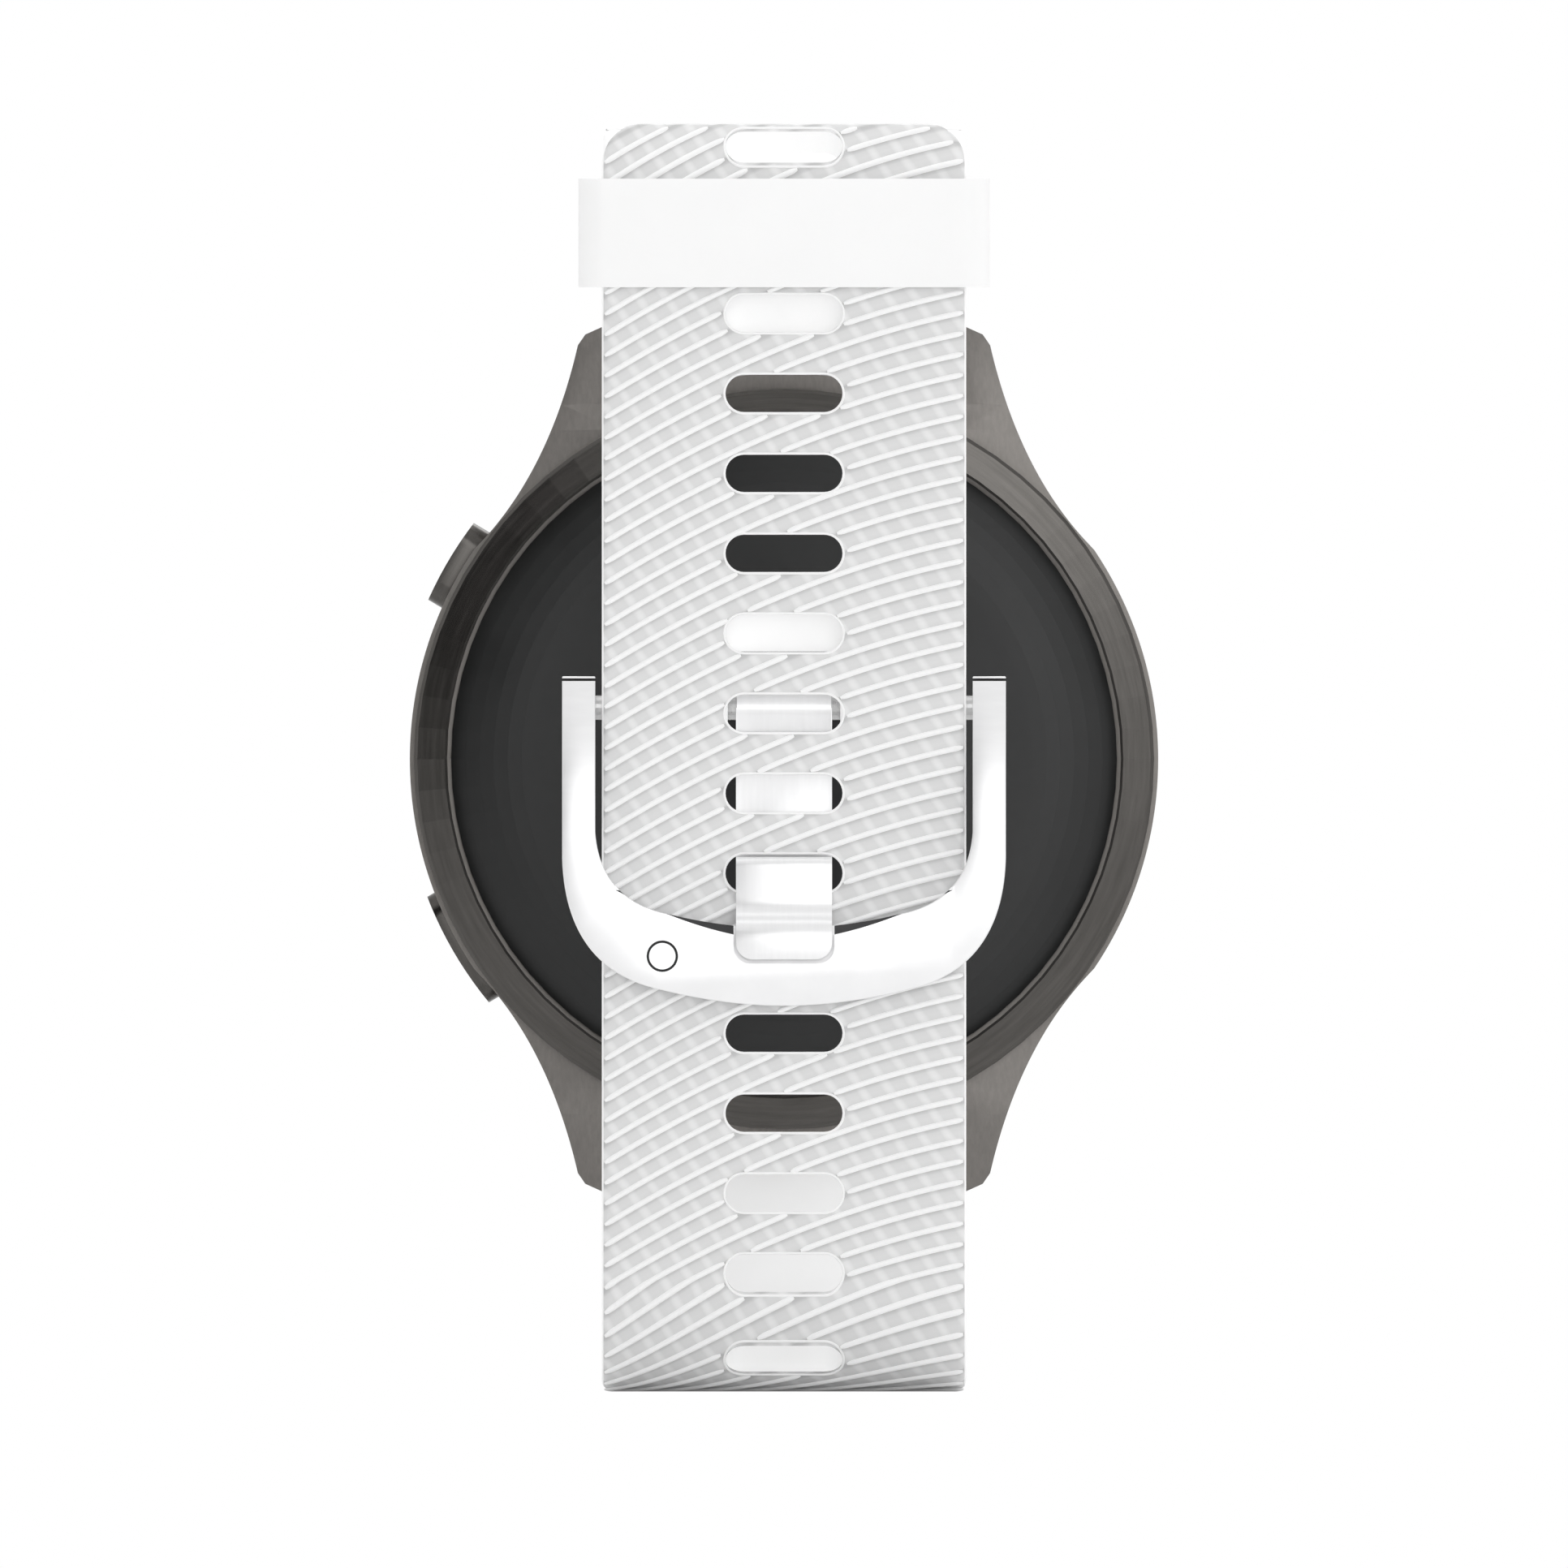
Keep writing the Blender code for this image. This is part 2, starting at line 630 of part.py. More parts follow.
def make_tail_strap():
    path = tail_path()
    ends = arc((BAR_Y, -BAR_Z), BARREL_R, 180, 0, 8)
    strap = side_plate(band_outline(path, lambda i: BARREL_R, ends[1:-1], []), STRAP_W)
    bevel(strap, 0.3, 1, 50)
    tip_cut(strap)
    for place in slot_places():
        boolean(strap, slot_cutter(*place))
    boolean(strap, cylinder(BAR_R + 0.06, 30, at(0, BAR_Y, -BAR_Z, ALONG_X), 20))
    release_window(strap, -1)
    narrow_root(strap, -1)
    return show(strap, "tail_strap", "silicone")


def tip_cut(strap):
    """Rounds the tail's two corners at its tip."""
    radius = 3.0
    tip_r = BEND_BUCKLE + STRAP_T + LAYER_GAP
    tip = math.degrees(TIP_ANGLE)
    facing = 180 - tip
    y, z = arc((TAIL_Y + tip_r, TOP_BEND_Z), tip_r, facing, facing, 1)[0]
    lean = Matrix.Rotation(math.radians(facing - 180), 4, "X")
    for side in (-1, 1):
        w = side * STRAP_W / 2
        curve = arc((w - side * radius, -radius), radius, 90, 90 - side * 90, 5)
        corner = [(w + side * 2, -radius), (w + side * 2, 2)]
        corner += [(w - side * radius, 2)] + curve
        boolean(strap, plate([corner], 8, at(0, y, z, lean @ ALONG_BACK)))


def make_buckle_strap():
    path = buckle_path()
    last = len(path) - 1
    first_end = arc((BAR_Y, BAR_Z), BARREL_R, 0, -180, 8)[1:-1]
    last_end = arc((BUCKLE_Y, PIN_Z), PIN_BARREL_R, 0, -180, 8)[1:-1]
    outline = band_outline(
        path, lambda i: PIN_BARREL_R if i == last else BARREL_R, first_end, last_end
    )
    strap = side_plate(outline, STRAP_W - 0.2)
    bevel(strap, 0.3, 1, 50)
    for k in (-1, 0, 1):
        z = SLOT_ZERO_Z + SLOT_PITCH * k
        boolean(strap, slot_cutter(BUCKLE_Y, z, 180.0))
    notch = block((TONGUE_W + 0.8, 6, 8), at(0, BUCKLE_Y, PIN_Z + 3.4 - 4))
    boolean(strap, notch)
    boolean(strap, cylinder(0.85, 30, at(0, BUCKLE_Y, PIN_Z, ALONG_X), 20))
    boolean(strap, cylinder(BAR_R + 0.06, 30, at(0, BAR_Y, BAR_Z, ALONG_X), 20))
    release_window(strap, 1)
    narrow_root(strap, 1)
    return show(strap, "buckle_strap", "silicone")


def make_spring_bar(name, z):
    """The strap bar: a tube with a fixed tip at +X, open at -X for the release pin."""
    half = LUG_GAP / 2 - 0.25
    tube = cylinder(BAR_R, 2 * half, at(0, BAR_Y, z, ALONG_X), 20)
    tip = cylinder(0.4, 2.0, at(half, BAR_Y, z, ALONG_X), 12)
    boolean(tube, tip, "UNION")
    boolean(tube, cylinder(0.5, 7.6, at(-half + 3.6, BAR_Y, z, ALONG_X), 16))
    window = block((3.0, 1.2, 0.9), at(-6.9, BAR_Y - 0.8, z))
    boolean(tube, window)
    show(tube, f"{name}_spring_bar", "bar_steel")
    pin = cylinder(0.4, 6.4, at(-half + 2.3, BAR_Y, z, ALONG_X), 12)
    lever = block((1.0, 2.3, 0.6), at(-7.45, BAR_Y - 1.2, z))
    boolean(pin, lever, "UNION")
    show(pin, f"{name}_release_pin", "bar_steel")


# Buckle and keeper

def frame_front_outline():
    """The buckle frame seen from the front: a U whose lower bar bulges down."""
    w, inner = FRAME_HALF_W, FRAME_HALF_W - ARM_W
    outer_corner = bezier((w, -6.0), (w - 0.2, -12.6), (7.6, -13.9), 12)
    outer_low = bezier((7.6, -13.9), (3.6, -14.9), (0, FRAME_BOTTOM), 5)
    inner_low = bezier((0, -10.3), (4.0, -10.1), (6.8, -9.4), 5)
    inner_corner = bezier((6.8, -9.4), (inner - 0.3, -8.6), (inner, -4.4), 10)
    right = [(inner, FRAME_TOP), (w, FRAME_TOP)] + outer_corner + outer_low[1:]
    back = inner_low + inner_corner[1:]
    left = [(-x, z) for x, z in reversed(right[:-1])]
    left_back = [(-x, z) for x, z in reversed(back[1:])]
    return right + left + left_back + back


def frame_side_outline():
    """The frame seen from the side: it steps out from the pin, over the tail strap."""
    outer = bezier((-43.4, FRAME_TOP + 1), (-46.9, 0), (-47.1, -6), 12)
    inner = bezier((-45.3, -8), (-44.9, -4), (-42.4, -0.5), 8)
    return (
        outer
        + [(-47.1, FRAME_BOTTOM - 1), (-45.3, FRAME_BOTTOM - 1)]
        + inner
        + [(-40.4, 1.4), (-39.5, 2.2), (-39.5, FRAME_TOP + 1)]
    )


def make_buckle_frame():
    frame = front_plate([frame_front_outline()], -50, -38)
    boolean(frame, side_plate(frame_side_outline(), 40), "INTERSECT")
    bevel(frame, 0.3, 2, 40)
    recess = rounded_rectangle(TONGUE_W / 2 + 0.15, 2.4, 1.0, 4, (0, -9.95))
    boolean(frame, front_plate([recess], -49, -46.3))
    bore = cylinder(0.85, 2 * 12.7, at(0, BUCKLE_Y, PIN_Z, ALONG_X), 20)
    boolean(frame, bore)
    return show(frame, "buckle_frame", "buckle_steel")


def tongue_side_outline():
    """The tongue seen from the side: under the tail, out through a slot, down onto the bar."""
    under = BUCKLE_Y - 0.3 - TONGUE_T  # its outer face, just under the tail strap
    over = FRONT_Y - 0.1 - TONGUE_T  # and just over it
    tip = TONGUE_FRONT
    outer = [(under, PIN_Z)] + arc((under - 0.3, -5.75), 0.3, 0, -90, 3)
    outer += arc((over + 0.8, -6.9), 0.8, 90, 180, 5)
    outer += bezier((over, -8.5), (over, -9.2), (-46.8, -9.45), 4)[:-1]
    outer += bezier((-46.8, -9.45), (tip, -9.7), (tip, -10.5), 4)
    inner = [(tip + TONGUE_T, -10.3)]
    inner += bezier((-46.0, -9.75), (over + TONGUE_T, -9.3), (over + TONGUE_T, -8.9), 3)
    inner += [(over + TONGUE_T, -7.2), (over + TONGUE_T + 0.2, -7.05)]
    inner += arc((under + 0.4, -6.45), 0.6, 270, 360, 3)
    low = -12.1
    return outer + [(tip, low), (tip + TONGUE_T, low)] + inner + [(under + TONGUE_T, PIN_Z)]


def make_tongue():
    tongue = side_plate(tongue_side_outline(), TONGUE_W)
    tip = rounded_rectangle(TONGUE_W / 2, 10, 1.0, 4, (0, -2.1))
    boolean(tongue, front_plate([tip], -50, -38), "INTERSECT")
    bevel(tongue, 0.12, 1, 40)
    barrel = cylinder(1.38, TONGUE_W - 0.1, at(0, BUCKLE_Y, PIN_Z, ALONG_X), 24)
    boolean(tongue, barrel, "UNION")
    boolean(tongue, cylinder(0.85, 20, at(0, BUCKLE_Y, PIN_Z, ALONG_X), 20))
    return show(tongue, "buckle_tongue", "buckle_steel")


def make_buckle_pin():
    pin = cylinder(0.75, 2 * 12.5, at(0, BUCKLE_Y, PIN_Z, ALONG_X), 20)
    return show(pin, "buckle_hinge_pin", "bar_steel")


KEEPER_WALL = 1.1


def make_keeper():
    """The loop that holds the tail: it wraps both layers, with room behind for the bend."""
    front = FRONT_Y - 0.2 - KEEPER_WALL
    back = BUCKLE_Y + STRAP_T / 2 + 1.45 + KEEPER_WALL
    middle, half = (front + back) / 2, (back - front) / 2
    outer = rounded_rectangle(KEEPER_HALF_W, half, 1.5, 4, (0, middle))
    inner = rounded_rectangle(
        KEEPER_HALF_W - KEEPER_WALL, half - KEEPER_WALL, 0.6, 3, (0, middle)
    )
    height = KEEPER_HIGH - KEEPER_LOW
    keeper = plate([outer, inner], height, at(0, 0, (KEEPER_LOW + KEEPER_HIGH) / 2))
    bevel(keeper, 0.2, 1, 60)
    return show(keeper, "strap_keeper", "silicone")


# What moves with what, about which point of its joint's axis

MOVING = {
    "case": (None, (0, BAR_Y, -BAR_Z)),
    "vibration_weight": ("case", (MOTOR_X, MOTOR_Y, 0)),
    "buckle_half": ("case", (0, BAR_Y, BAR_Z)),
    "frame": ("buckle_half", (0, BUCKLE_Y, PIN_Z)),
    "tongue": ("frame", (0, BUCKLE_Y, PIN_Z)),
    "keeper": ("buckle_half", (0, BUCKLE_Y, (KEEPER_LOW + KEEPER_HIGH) / 2)),
    "upper_release": ("buckle_half", (-LUG_GAP / 2, BAR_Y, BAR_Z)),
    "lower_release": (None, (-LUG_GAP / 2, BAR_Y, -BAR_Z)),
}
RIDES = {
    "tail_strap": None,
    "lower_spring_bar": None,
    "lower_release_pin": "lower_release",
    "upper_release_pin": "upper_release",
    "buckle_strap": "buckle_half",
    "upper_spring_bar": "buckle_half",
    "buckle_hinge_pin": "buckle_half",
    "buckle_frame": "frame",
    "buckle_tongue": "tongue",
    "strap_keeper": "keeper",
    "vibration_motor_weight": "vibration_weight",
}


def parent_to_joints():
    """Puts each moving group under an empty on its joint's axis. The rest rides on the case."""
    empties, spots = {}, {}
    for name, (parent, place) in MOVING.items():
        empty = bpy.data.objects.new(f"{name}_joint", None)
        empty.empty_display_size = 5 * MM
        spots[name] = at(*place)
        empty.matrix_world = spots[name]
        if parent:
            empty.parent = empties[parent]
            empty.matrix_parent_inverse = spots[parent].inverted()
        WATCH.objects.link(empty)
        empties[name] = empty
    for obj in [o for o in WATCH.objects if o.type == "MESH"]:
        group = RIDES.get(obj.name, "case")
        if group:
            obj.parent = empties[group]
            obj.matrix_parent_inverse = spots[group].inverted()


def main():
    make_case_shell()
    make_buttons()
    make_rings_and_glass()
    make_rear_cover()
    make_rear_screws()
    make_sensor()
    make_charging_port()
    make_inside()
    make_vibration_motor()
    make_tail_strap()
    make_buckle_strap()
    make_spring_bar("lower", -BAR_Z)
    make_spring_bar("upper", BAR_Z)
    make_buckle_frame()
    make_tongue()
    make_buckle_pin()
    make_keeper()
    parent_to_joints()


main()
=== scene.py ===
import math

import bmesh
import bpy
from mathutils import Matrix, Vector


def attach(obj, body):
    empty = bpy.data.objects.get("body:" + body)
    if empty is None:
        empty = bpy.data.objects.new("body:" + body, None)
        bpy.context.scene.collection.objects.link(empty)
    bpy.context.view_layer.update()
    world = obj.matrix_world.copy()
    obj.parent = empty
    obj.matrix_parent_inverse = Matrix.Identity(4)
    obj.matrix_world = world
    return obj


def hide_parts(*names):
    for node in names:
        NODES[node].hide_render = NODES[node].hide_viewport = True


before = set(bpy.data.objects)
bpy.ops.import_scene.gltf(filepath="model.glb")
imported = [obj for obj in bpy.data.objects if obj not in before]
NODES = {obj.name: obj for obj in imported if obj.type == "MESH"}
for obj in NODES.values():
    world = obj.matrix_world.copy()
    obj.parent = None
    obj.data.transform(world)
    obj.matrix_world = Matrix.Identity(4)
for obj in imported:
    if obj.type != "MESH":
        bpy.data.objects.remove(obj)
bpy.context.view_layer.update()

MM = 0.001

# Sizes in millimetres, from the centre of the case; +Y out of the display, as in the CAD
LOOP_HALF = 38.05
CASE_Y = 20.9
BAR_Y, BAR_Z = -0.6, 24.1
STRAP_W, STRAP_T = 22.0, 2.4
ROOT_W, ROOT_END = 20.7, 27.0
TAIL_Y, BUCKLE_Y = -43.8, -41.1
BEND_TAIL, BEND_BUCKLE = 5.3, 4.4
TOP_BEND_Z = 32.4
TIP_R = BEND_BUCKLE + STRAP_T + 0.3
TIP_TURN = 48.0
LOW_Z = -LOOP_HALF + STRAP_T / 2 + BEND_TAIL
SLOT_L, SLOT_H, SLOT_PITCH, SLOT_ZERO_Z = 7.06, 2.25, 4.83, 17.26
PIN_Z, PIN_BORE_R = 3.1, 0.85
TONGUE_W, TONGUE_T, TONGUE_FRONT = 5.8, 1.0, -47.5
FRONT_Y = TAIL_Y - STRAP_T / 2
FRAME_HALF_W, ARM_W = 13.4, 2.0
FRAME_TOP, FRAME_BOTTOM = 5.0, -14.9
KEEPER_HALF_W, KEEPER_LOW, KEEPER_HIGH = 12.42, 28.5, 35.06
CENTRE = Vector((0, CASE_Y, LOOP_HALF)) * MM


def at(x=0.0, y=0.0, z=0.0, turn=None):
    """The matrix of a place given in millimetres from the centre of the case."""
    place = Matrix.Translation(CENTRE + Vector((x, y, z)) * MM)
    return place @ turn if turn else place


ALONG_X = Matrix.Rotation(math.pi / 2, 4, "Y")
ALONG_BACK = Matrix.Rotation(math.pi / 2, 4, "X")
SIDE_ON = Matrix(((0, 0, 1, 0), (1, 0, 0, 0), (0, 1, 0, 0), (0, 0, 0, 1)))
FACE_ON = Matrix(((1, 0, 0, 0), (0, 0, -1, 0), (0, 1, 0, 0), (0, 0, 0, 1)))


# Materials

def grey(value):
    return (value, value, value)


def new_material(name):
    material = bpy.data.materials.new(name)
    material.use_nodes = True
    shader = material.node_tree.nodes["Principled BSDF"]
    return material, shader, material.node_tree


def node(tree, kind, **settings):
    made = tree.nodes.new(kind)
    for key, value in settings.items():
        if key in made.inputs:
            made.inputs[key].default_value = value
        else:
            setattr(made, key, value)
    return made


def ramp(tree, source, low, high, start=0.0, end=1.0):
    made = node(tree, "ShaderNodeValToRGB")
    made.color_ramp.elements[0].position = start
    made.color_ramp.elements[1].position = end
    made.color_ramp.elements[0].color = (*low, 1)
    made.color_ramp.elements[1].color = (*high, 1)
    tree.links.new(source, made.inputs["Fac"])
    return made


def remap(tree, source, low, high):
    made = node(tree, "ShaderNodeMapRange")
    made.inputs["To Min"].default_value = low
    made.inputs["To Max"].default_value = high
    tree.links.new(source, made.inputs["Value"])
    return made


def bump(tree, shader, height, strength, distance):
    made = node(tree, "ShaderNodeBump", Strength=strength, Distance=distance * MM)
    tree.links.new(height, made.inputs["Height"])
    tree.links.new(made.outputs["Normal"], shader.inputs["Normal"])


def painted_glow(material, strength):
    """Painted glow: an even emission that brightens the silicone where it would lie in shade."""
    shader = material.node_tree.nodes["Principled BSDF"]
    shader.inputs["Emission Color"].default_value = (1, 1, 1, 1)
    shader.inputs["Emission Strength"].default_value = strength


RIB_PITCH, RIB_W, RIB_H = 1.25, 0.34, 0.14
RIB_SLOPE, RIB_CURVE = 0.62, 0.00955


def sum_of(tree, a, b, c):
    """a times b plus c, each a number or a socket."""
    made = node(tree, "ShaderNodeMath", operation="MULTIPLY_ADD")
    for slot, value in zip(made.inputs, (a, b, c)):
        if isinstance(value, (int, float)):
            slot.default_value = value
        else:
            tree.links.new(value, slot)
    return made.outputs[0]


def rib_phase(tree, uv, sign):
    """0 to 1 from each rib to the next one, along the strap."""
    parts = node(tree, "ShaderNodeSeparateXYZ")
    tree.links.new(uv, parts.inputs[0])
    u = sum_of(tree, parts.outputs["X"], 1.0, STRAP_W / 2)
    slope = sum_of(tree, u, -RIB_CURVE, RIB_SLOPE)
    rise = sum_of(tree, u, slope, 0.0)
    along = sum_of(tree, rise, -sign, parts.outputs["Y"])
    count = sum_of(tree, along, 1 / RIB_PITCH, 0.0)
    made = node(tree, "ShaderNodeMath", operation="FRACT")
    tree.links.new(count, made.inputs[0])
    return made.outputs[0]


def rib_shade(tree, phase, sign):
    """Painted shade: a soft dark line along one side of each rib, where it meets the strap."""
    made = node(tree, "ShaderNodeValToRGB")
    stops = [(0.0, 0.8), (0.14, 0.97), (0.4, 1.0), (0.66, 0.96), (0.82, 0.76), (0.93, 0.74)]
    if sign < 0:
        stops = [(1 - place, value) for place, value in reversed(stops)]
    elements = made.color_ramp.elements
    for place, value in stops[1:-1]:
        elements.new(place)
    for element, (place, value) in zip(elements, stops):
        element.position = place
        element.color = (*grey(value), 1)
    tree.links.new(phase, made.inputs["Fac"])
    return made


def silicone(name, low, high, roughness=0.5, weave=0.0):
    """Soft white silicone with a slight mottle and a fine grain.

    weave is 0 for plain silicone. On a ribbed side it is 1 or -1, the way that the ribs rise, and a
    painted shade line is laid beside each rib.
    """
    material, shader, tree = new_material(name)
    place = node(tree, "ShaderNodeTexCoord")
    mottle = node(tree, "ShaderNodeTexNoise", Scale=240.0, Detail=3.0)
    tree.links.new(place.outputs["Object"], mottle.inputs["Vector"])
    grain = node(tree, "ShaderNodeTexNoise", Scale=5200.0, Detail=2.0)
    tree.links.new(place.outputs["Object"], grain.inputs["Vector"])
    colour = ramp(tree, mottle.outputs["Fac"], low, high, 0.3, 0.7)
    tint = colour.outputs["Color"]
    height = grain.outputs["Fac"]
    strength, distance = 0.25, 0.02
    if weave:
        phase = rib_phase(tree, place.outputs["UV"], weave)
        turn = node(tree, "ShaderNodeMapping")
        turn.inputs["Rotation"].default_value = (0, 0, math.radians(-35 * weave))
        tree.links.new(place.outputs["UV"], turn.inputs["Vector"])
        wave = node(tree, "ShaderNodeTexWave", Scale=0.23, Distortion=0.8)
        wave.inputs["Detail Scale"].default_value = 1.5
        tree.links.new(turn.outputs["Vector"], wave.inputs["Vector"])
        patch = ramp(tree, wave.outputs["Fac"], low, high, 0.55, 1.0)
        # painted shade: a darker line beside each rib, multiplied into the colour
        shade = rib_shade(tree, phase, weave)
        both = node(tree, "ShaderNodeVectorMath", operation="MULTIPLY")
        tree.links.new(patch.outputs["Color"], both.inputs[0])
        tree.links.new(shade.outputs["Color"], both.inputs[1])
        tint = both.outputs["Vector"]
        height, strength, distance = wave.outputs["Fac"], 0.12, 0.04
    tree.links.new(tint, shader.inputs["Base Color"])
    rough = remap(tree, mottle.outputs["Fac"], roughness - 0.05, roughness + 0.05)
    tree.links.new(rough.outputs["Result"], shader.inputs["Roughness"])
    bump(tree, shader, height, strength, distance)
    shader.inputs["Specular IOR Level"].default_value = 0.4
    shader.inputs["Subsurface Weight"].default_value = 0.08
    shader.inputs["Subsurface Scale"].default_value = 0.5 * MM
    shader.inputs["Subsurface Radius"].default_value = (1.0, 0.95, 0.9)
    return material


def round_the_axis(tree, centred):
    """(distance from the case's axis, depth, angle round it) as a vector."""
    parts = node(tree, "ShaderNodeSeparateXYZ")
    tree.links.new(centred, parts.inputs[0])
    flat = node(tree, "ShaderNodeCombineXYZ")
    tree.links.new(parts.outputs["X"], flat.inputs["X"])
    tree.links.new(parts.outputs["Z"], flat.inputs["Z"])
    reach = node(tree, "ShaderNodeVectorMath", operation="LENGTH")
    tree.links.new(flat.outputs["Vector"], reach.inputs[0])
    angle = node(tree, "ShaderNodeMath", operation="ARCTAN2")
    tree.links.new(parts.outputs["Z"], angle.inputs[0])
    tree.links.new(parts.outputs["X"], angle.inputs[1])
    made = node(tree, "ShaderNodeCombineXYZ")
    tree.links.new(reach.outputs["Value"], made.inputs["X"])
    tree.links.new(parts.outputs["Y"], made.inputs["Y"])
    tree.links.new(angle.outputs["Value"], made.inputs["Z"])
    return made.outputs["Vector"]


def brushed(name, low, high, roughness, streaks, metallic=1.0, anisotropic=0.0, turned=False):
    """Brushed metal: fine streaks along one way, or round the case's axis, and faint wear."""
    material, shader, tree = new_material(name)
    place = node(tree, "ShaderNodeTexCoord")
    centred = node(tree, "ShaderNodeVectorMath", operation="SUBTRACT")
    centred.inputs[1].default_value = CENTRE
    tree.links.new(place.outputs["Object"], centred.inputs[0])
    scale = node(tree, "ShaderNodeMapping")
    scale.inputs["Scale"].default_value = streaks
    way = centred.outputs["Vector"]
    if turned:
        way = round_the_axis(tree, way)
        tangent = node(tree, "ShaderNodeTangent", direction_type="RADIAL", axis="Y")
        tree.links.new(tangent.outputs["Tangent"], shader.inputs["Tangent"])
    tree.links.new(way, scale.inputs["Vector"])
    fine = node(tree, "ShaderNodeTexNoise", Scale=1.0, Detail=4.0, Roughness=0.6)
    tree.links.new(scale.outputs["Vector"], fine.inputs["Vector"])
    broad = node(tree, "ShaderNodeTexNoise", Scale=90.0, Detail=2.0)
    tree.links.new(centred.outputs["Vector"], broad.inputs["Vector"])
    colour = ramp(tree, fine.outputs["Fac"], low, high, 0.3, 0.7)
    tree.links.new(colour.outputs["Color"], shader.inputs["Base Color"])
    mixed = node(tree, "ShaderNodeMath", operation="MULTIPLY")
    tree.links.new(fine.outputs["Fac"], mixed.inputs[0])
    tree.links.new(broad.outputs["Fac"], mixed.inputs[1])
    rough = remap(tree, mixed.outputs[0], roughness - 0.06, roughness + 0.12)
    tree.links.new(rough.outputs["Result"], shader.inputs["Roughness"])
    bump(tree, shader, fine.outputs["Fac"], 0.08, 0.01)
    shader.inputs["Metallic"].default_value = metallic
    shader.inputs["Anisotropic"].default_value = anisotropic
    return material


def polished(name, low, high, roughness, metallic=1.0, coat=0.0, specular=0.5):
    """A smooth finish with a little unevenness in its tone, gloss and surface."""
    material, shader, tree = new_material(name)
    place = node(tree, "ShaderNodeTexCoord")
    cloud = node(tree, "ShaderNodeTexNoise", Scale=180.0, Detail=3.0)
    tree.links.new(place.outputs["Object"], cloud.inputs["Vector"])
    fine = node(tree, "ShaderNodeTexNoise", Scale=3600.0, Detail=2.0)
    tree.links.new(place.outputs["Object"], fine.inputs["Vector"])
    colour = ramp(tree, cloud.outputs["Fac"], low, high, 0.3, 0.7)
    tree.links.new(colour.outputs["Color"], shader.inputs["Base Color"])
    rough = remap(tree, cloud.outputs["Fac"], roughness * 0.8, roughness * 1.25)
    tree.links.new(rough.outputs["Result"], shader.inputs["Roughness"])
    bump(tree, shader, fine.outputs["Fac"], 0.03, 0.01)
    shader.inputs["Metallic"].default_value = metallic
    shader.inputs["Coat Weight"].default_value = coat
    shader.inputs["Specular IOR Level"].default_value = specular
    return material


STRAP = silicone("strap_silicone", grey(0.78), grey(0.88), 0.5, 1)
BUCKLE_STRAP = silicone("buckle_strap_silicone", grey(0.78), grey(0.88), 0.5, -1)
# Painted light: the plain inner silicone is whiter than the ribbed side and glows, so that the
# shaded slot interiors and cut walls read bright.
STRAP_INSIDE = silicone("strap_inner_silicone", grey(0.88), grey(0.93))
painted_glow(STRAP_INSIDE, 0.15)
# Painted highlight: the ribs and slot rims get a whiter copy of the strap's silicone, with a faint
# glow, standing in for the light on their crests.
RIB = silicone("strap_rib_silicone", grey(0.96), grey(0.98), 0.42)
painted_glow(RIB, 0.05)
# The keeper's faint emission is a painted glow that brightens it.
KEEPER = silicone("keeper_silicone", grey(0.95), grey(0.97), 0.38)
painted_glow(KEEPER, 0.05)
BRONZE = brushed(
    "case_bronze", (0.082, 0.078, 0.073), (0.11, 0.104, 0.098), 0.24, (4200, 4200, 5), turned=True
)
LUG_BRONZE = brushed(
    "lug_bronze", (0.19, 0.179, 0.168), (0.225, 0.212, 0.199), 0.42, (4200, 1500, 300), 0.85
)
BUCKLE = brushed(
    "buckle_steel", (0.89, 0.89, 0.895), (0.93, 0.93, 0.935), 0.34, (300, 300, 3600), 0.6
)
STEEL = brushed("plain_steel", grey(0.5), grey(0.62), 0.28, (2600, 600, 600))
COVER = polished(
    "rear_cover_polymer", (0.013, 0.0133, 0.0135), (0.018, 0.0183, 0.0185), 0.38, 0.0, specular=0.38
)
GLASS = polished("black_glass", (0.004, 0.004, 0.005), (0.007, 0.007, 0.008), 0.06, 0.0)
WINDOW = polished(
    "sensor_glass", (0.012, 0.012, 0.013), (0.018, 0.018, 0.019), 0.4, 0.0, specular=0.25
)
# Painted shade: a dark copy of the steel for the ledges cut into the buckle frame's front.
PAINTED_SHADE_STEEL = polished("painted_shade_steel", (0.03, 0.03, 0.031), (0.05, 0.05, 0.051), 0.4, 0.5)
BLACK = polished("black_plastic", (0.02, 0.02, 0.021), (0.03, 0.03, 0.031), 0.35, 0.0)
RUBBER = polished("seal_rubber", grey(0.015), grey(0.022), 0.8, 0.0)
BOARD = polished("circuit_board", (0.01, 0.1, 0.05), (0.02, 0.16, 0.08), 0.45, 0.0, 0.4)
CELL = polished("battery_wrap", (0.24, 0.25, 0.27), (0.3, 0.31, 0.33), 0.4, 0.3)
GOLD = polished("gold_plate", (0.78, 0.56, 0.2), (0.85, 0.64, 0.28), 0.22)

FINISHES = {
    "case_shell": LUG_BRONZE,
    "rear_ring": BRONZE,
    "front_bezel": BRONZE,
    "upper_button": BRONZE,
    "middle_button": BRONZE,
    "lower_button": BRONZE,
    "cover_glass": GLASS,
    "sensor_window": WINDOW,
    "display_module": GLASS,
    "rear_cover": COVER,
    "charging_port": BLACK,
    "inner_chassis": BLACK,
    "front_gasket": RUBBER,
    "rear_gasket": RUBBER,
    "heart_rate_sensor_module": BOARD,
    "main_board": BOARD,
    "battery": CELL,
    "gps_antenna_ring": GOLD,
    "buckle_frame": BUCKLE,
    "buckle_tongue": BUCKLE,
    "tail_strap": STRAP,
    "buckle_strap": BUCKLE_STRAP,
    "strap_keeper": KEEPER,
}
for contact in range(1, 5):
    FINISHES[f"charging_contact_{contact}"] = GOLD
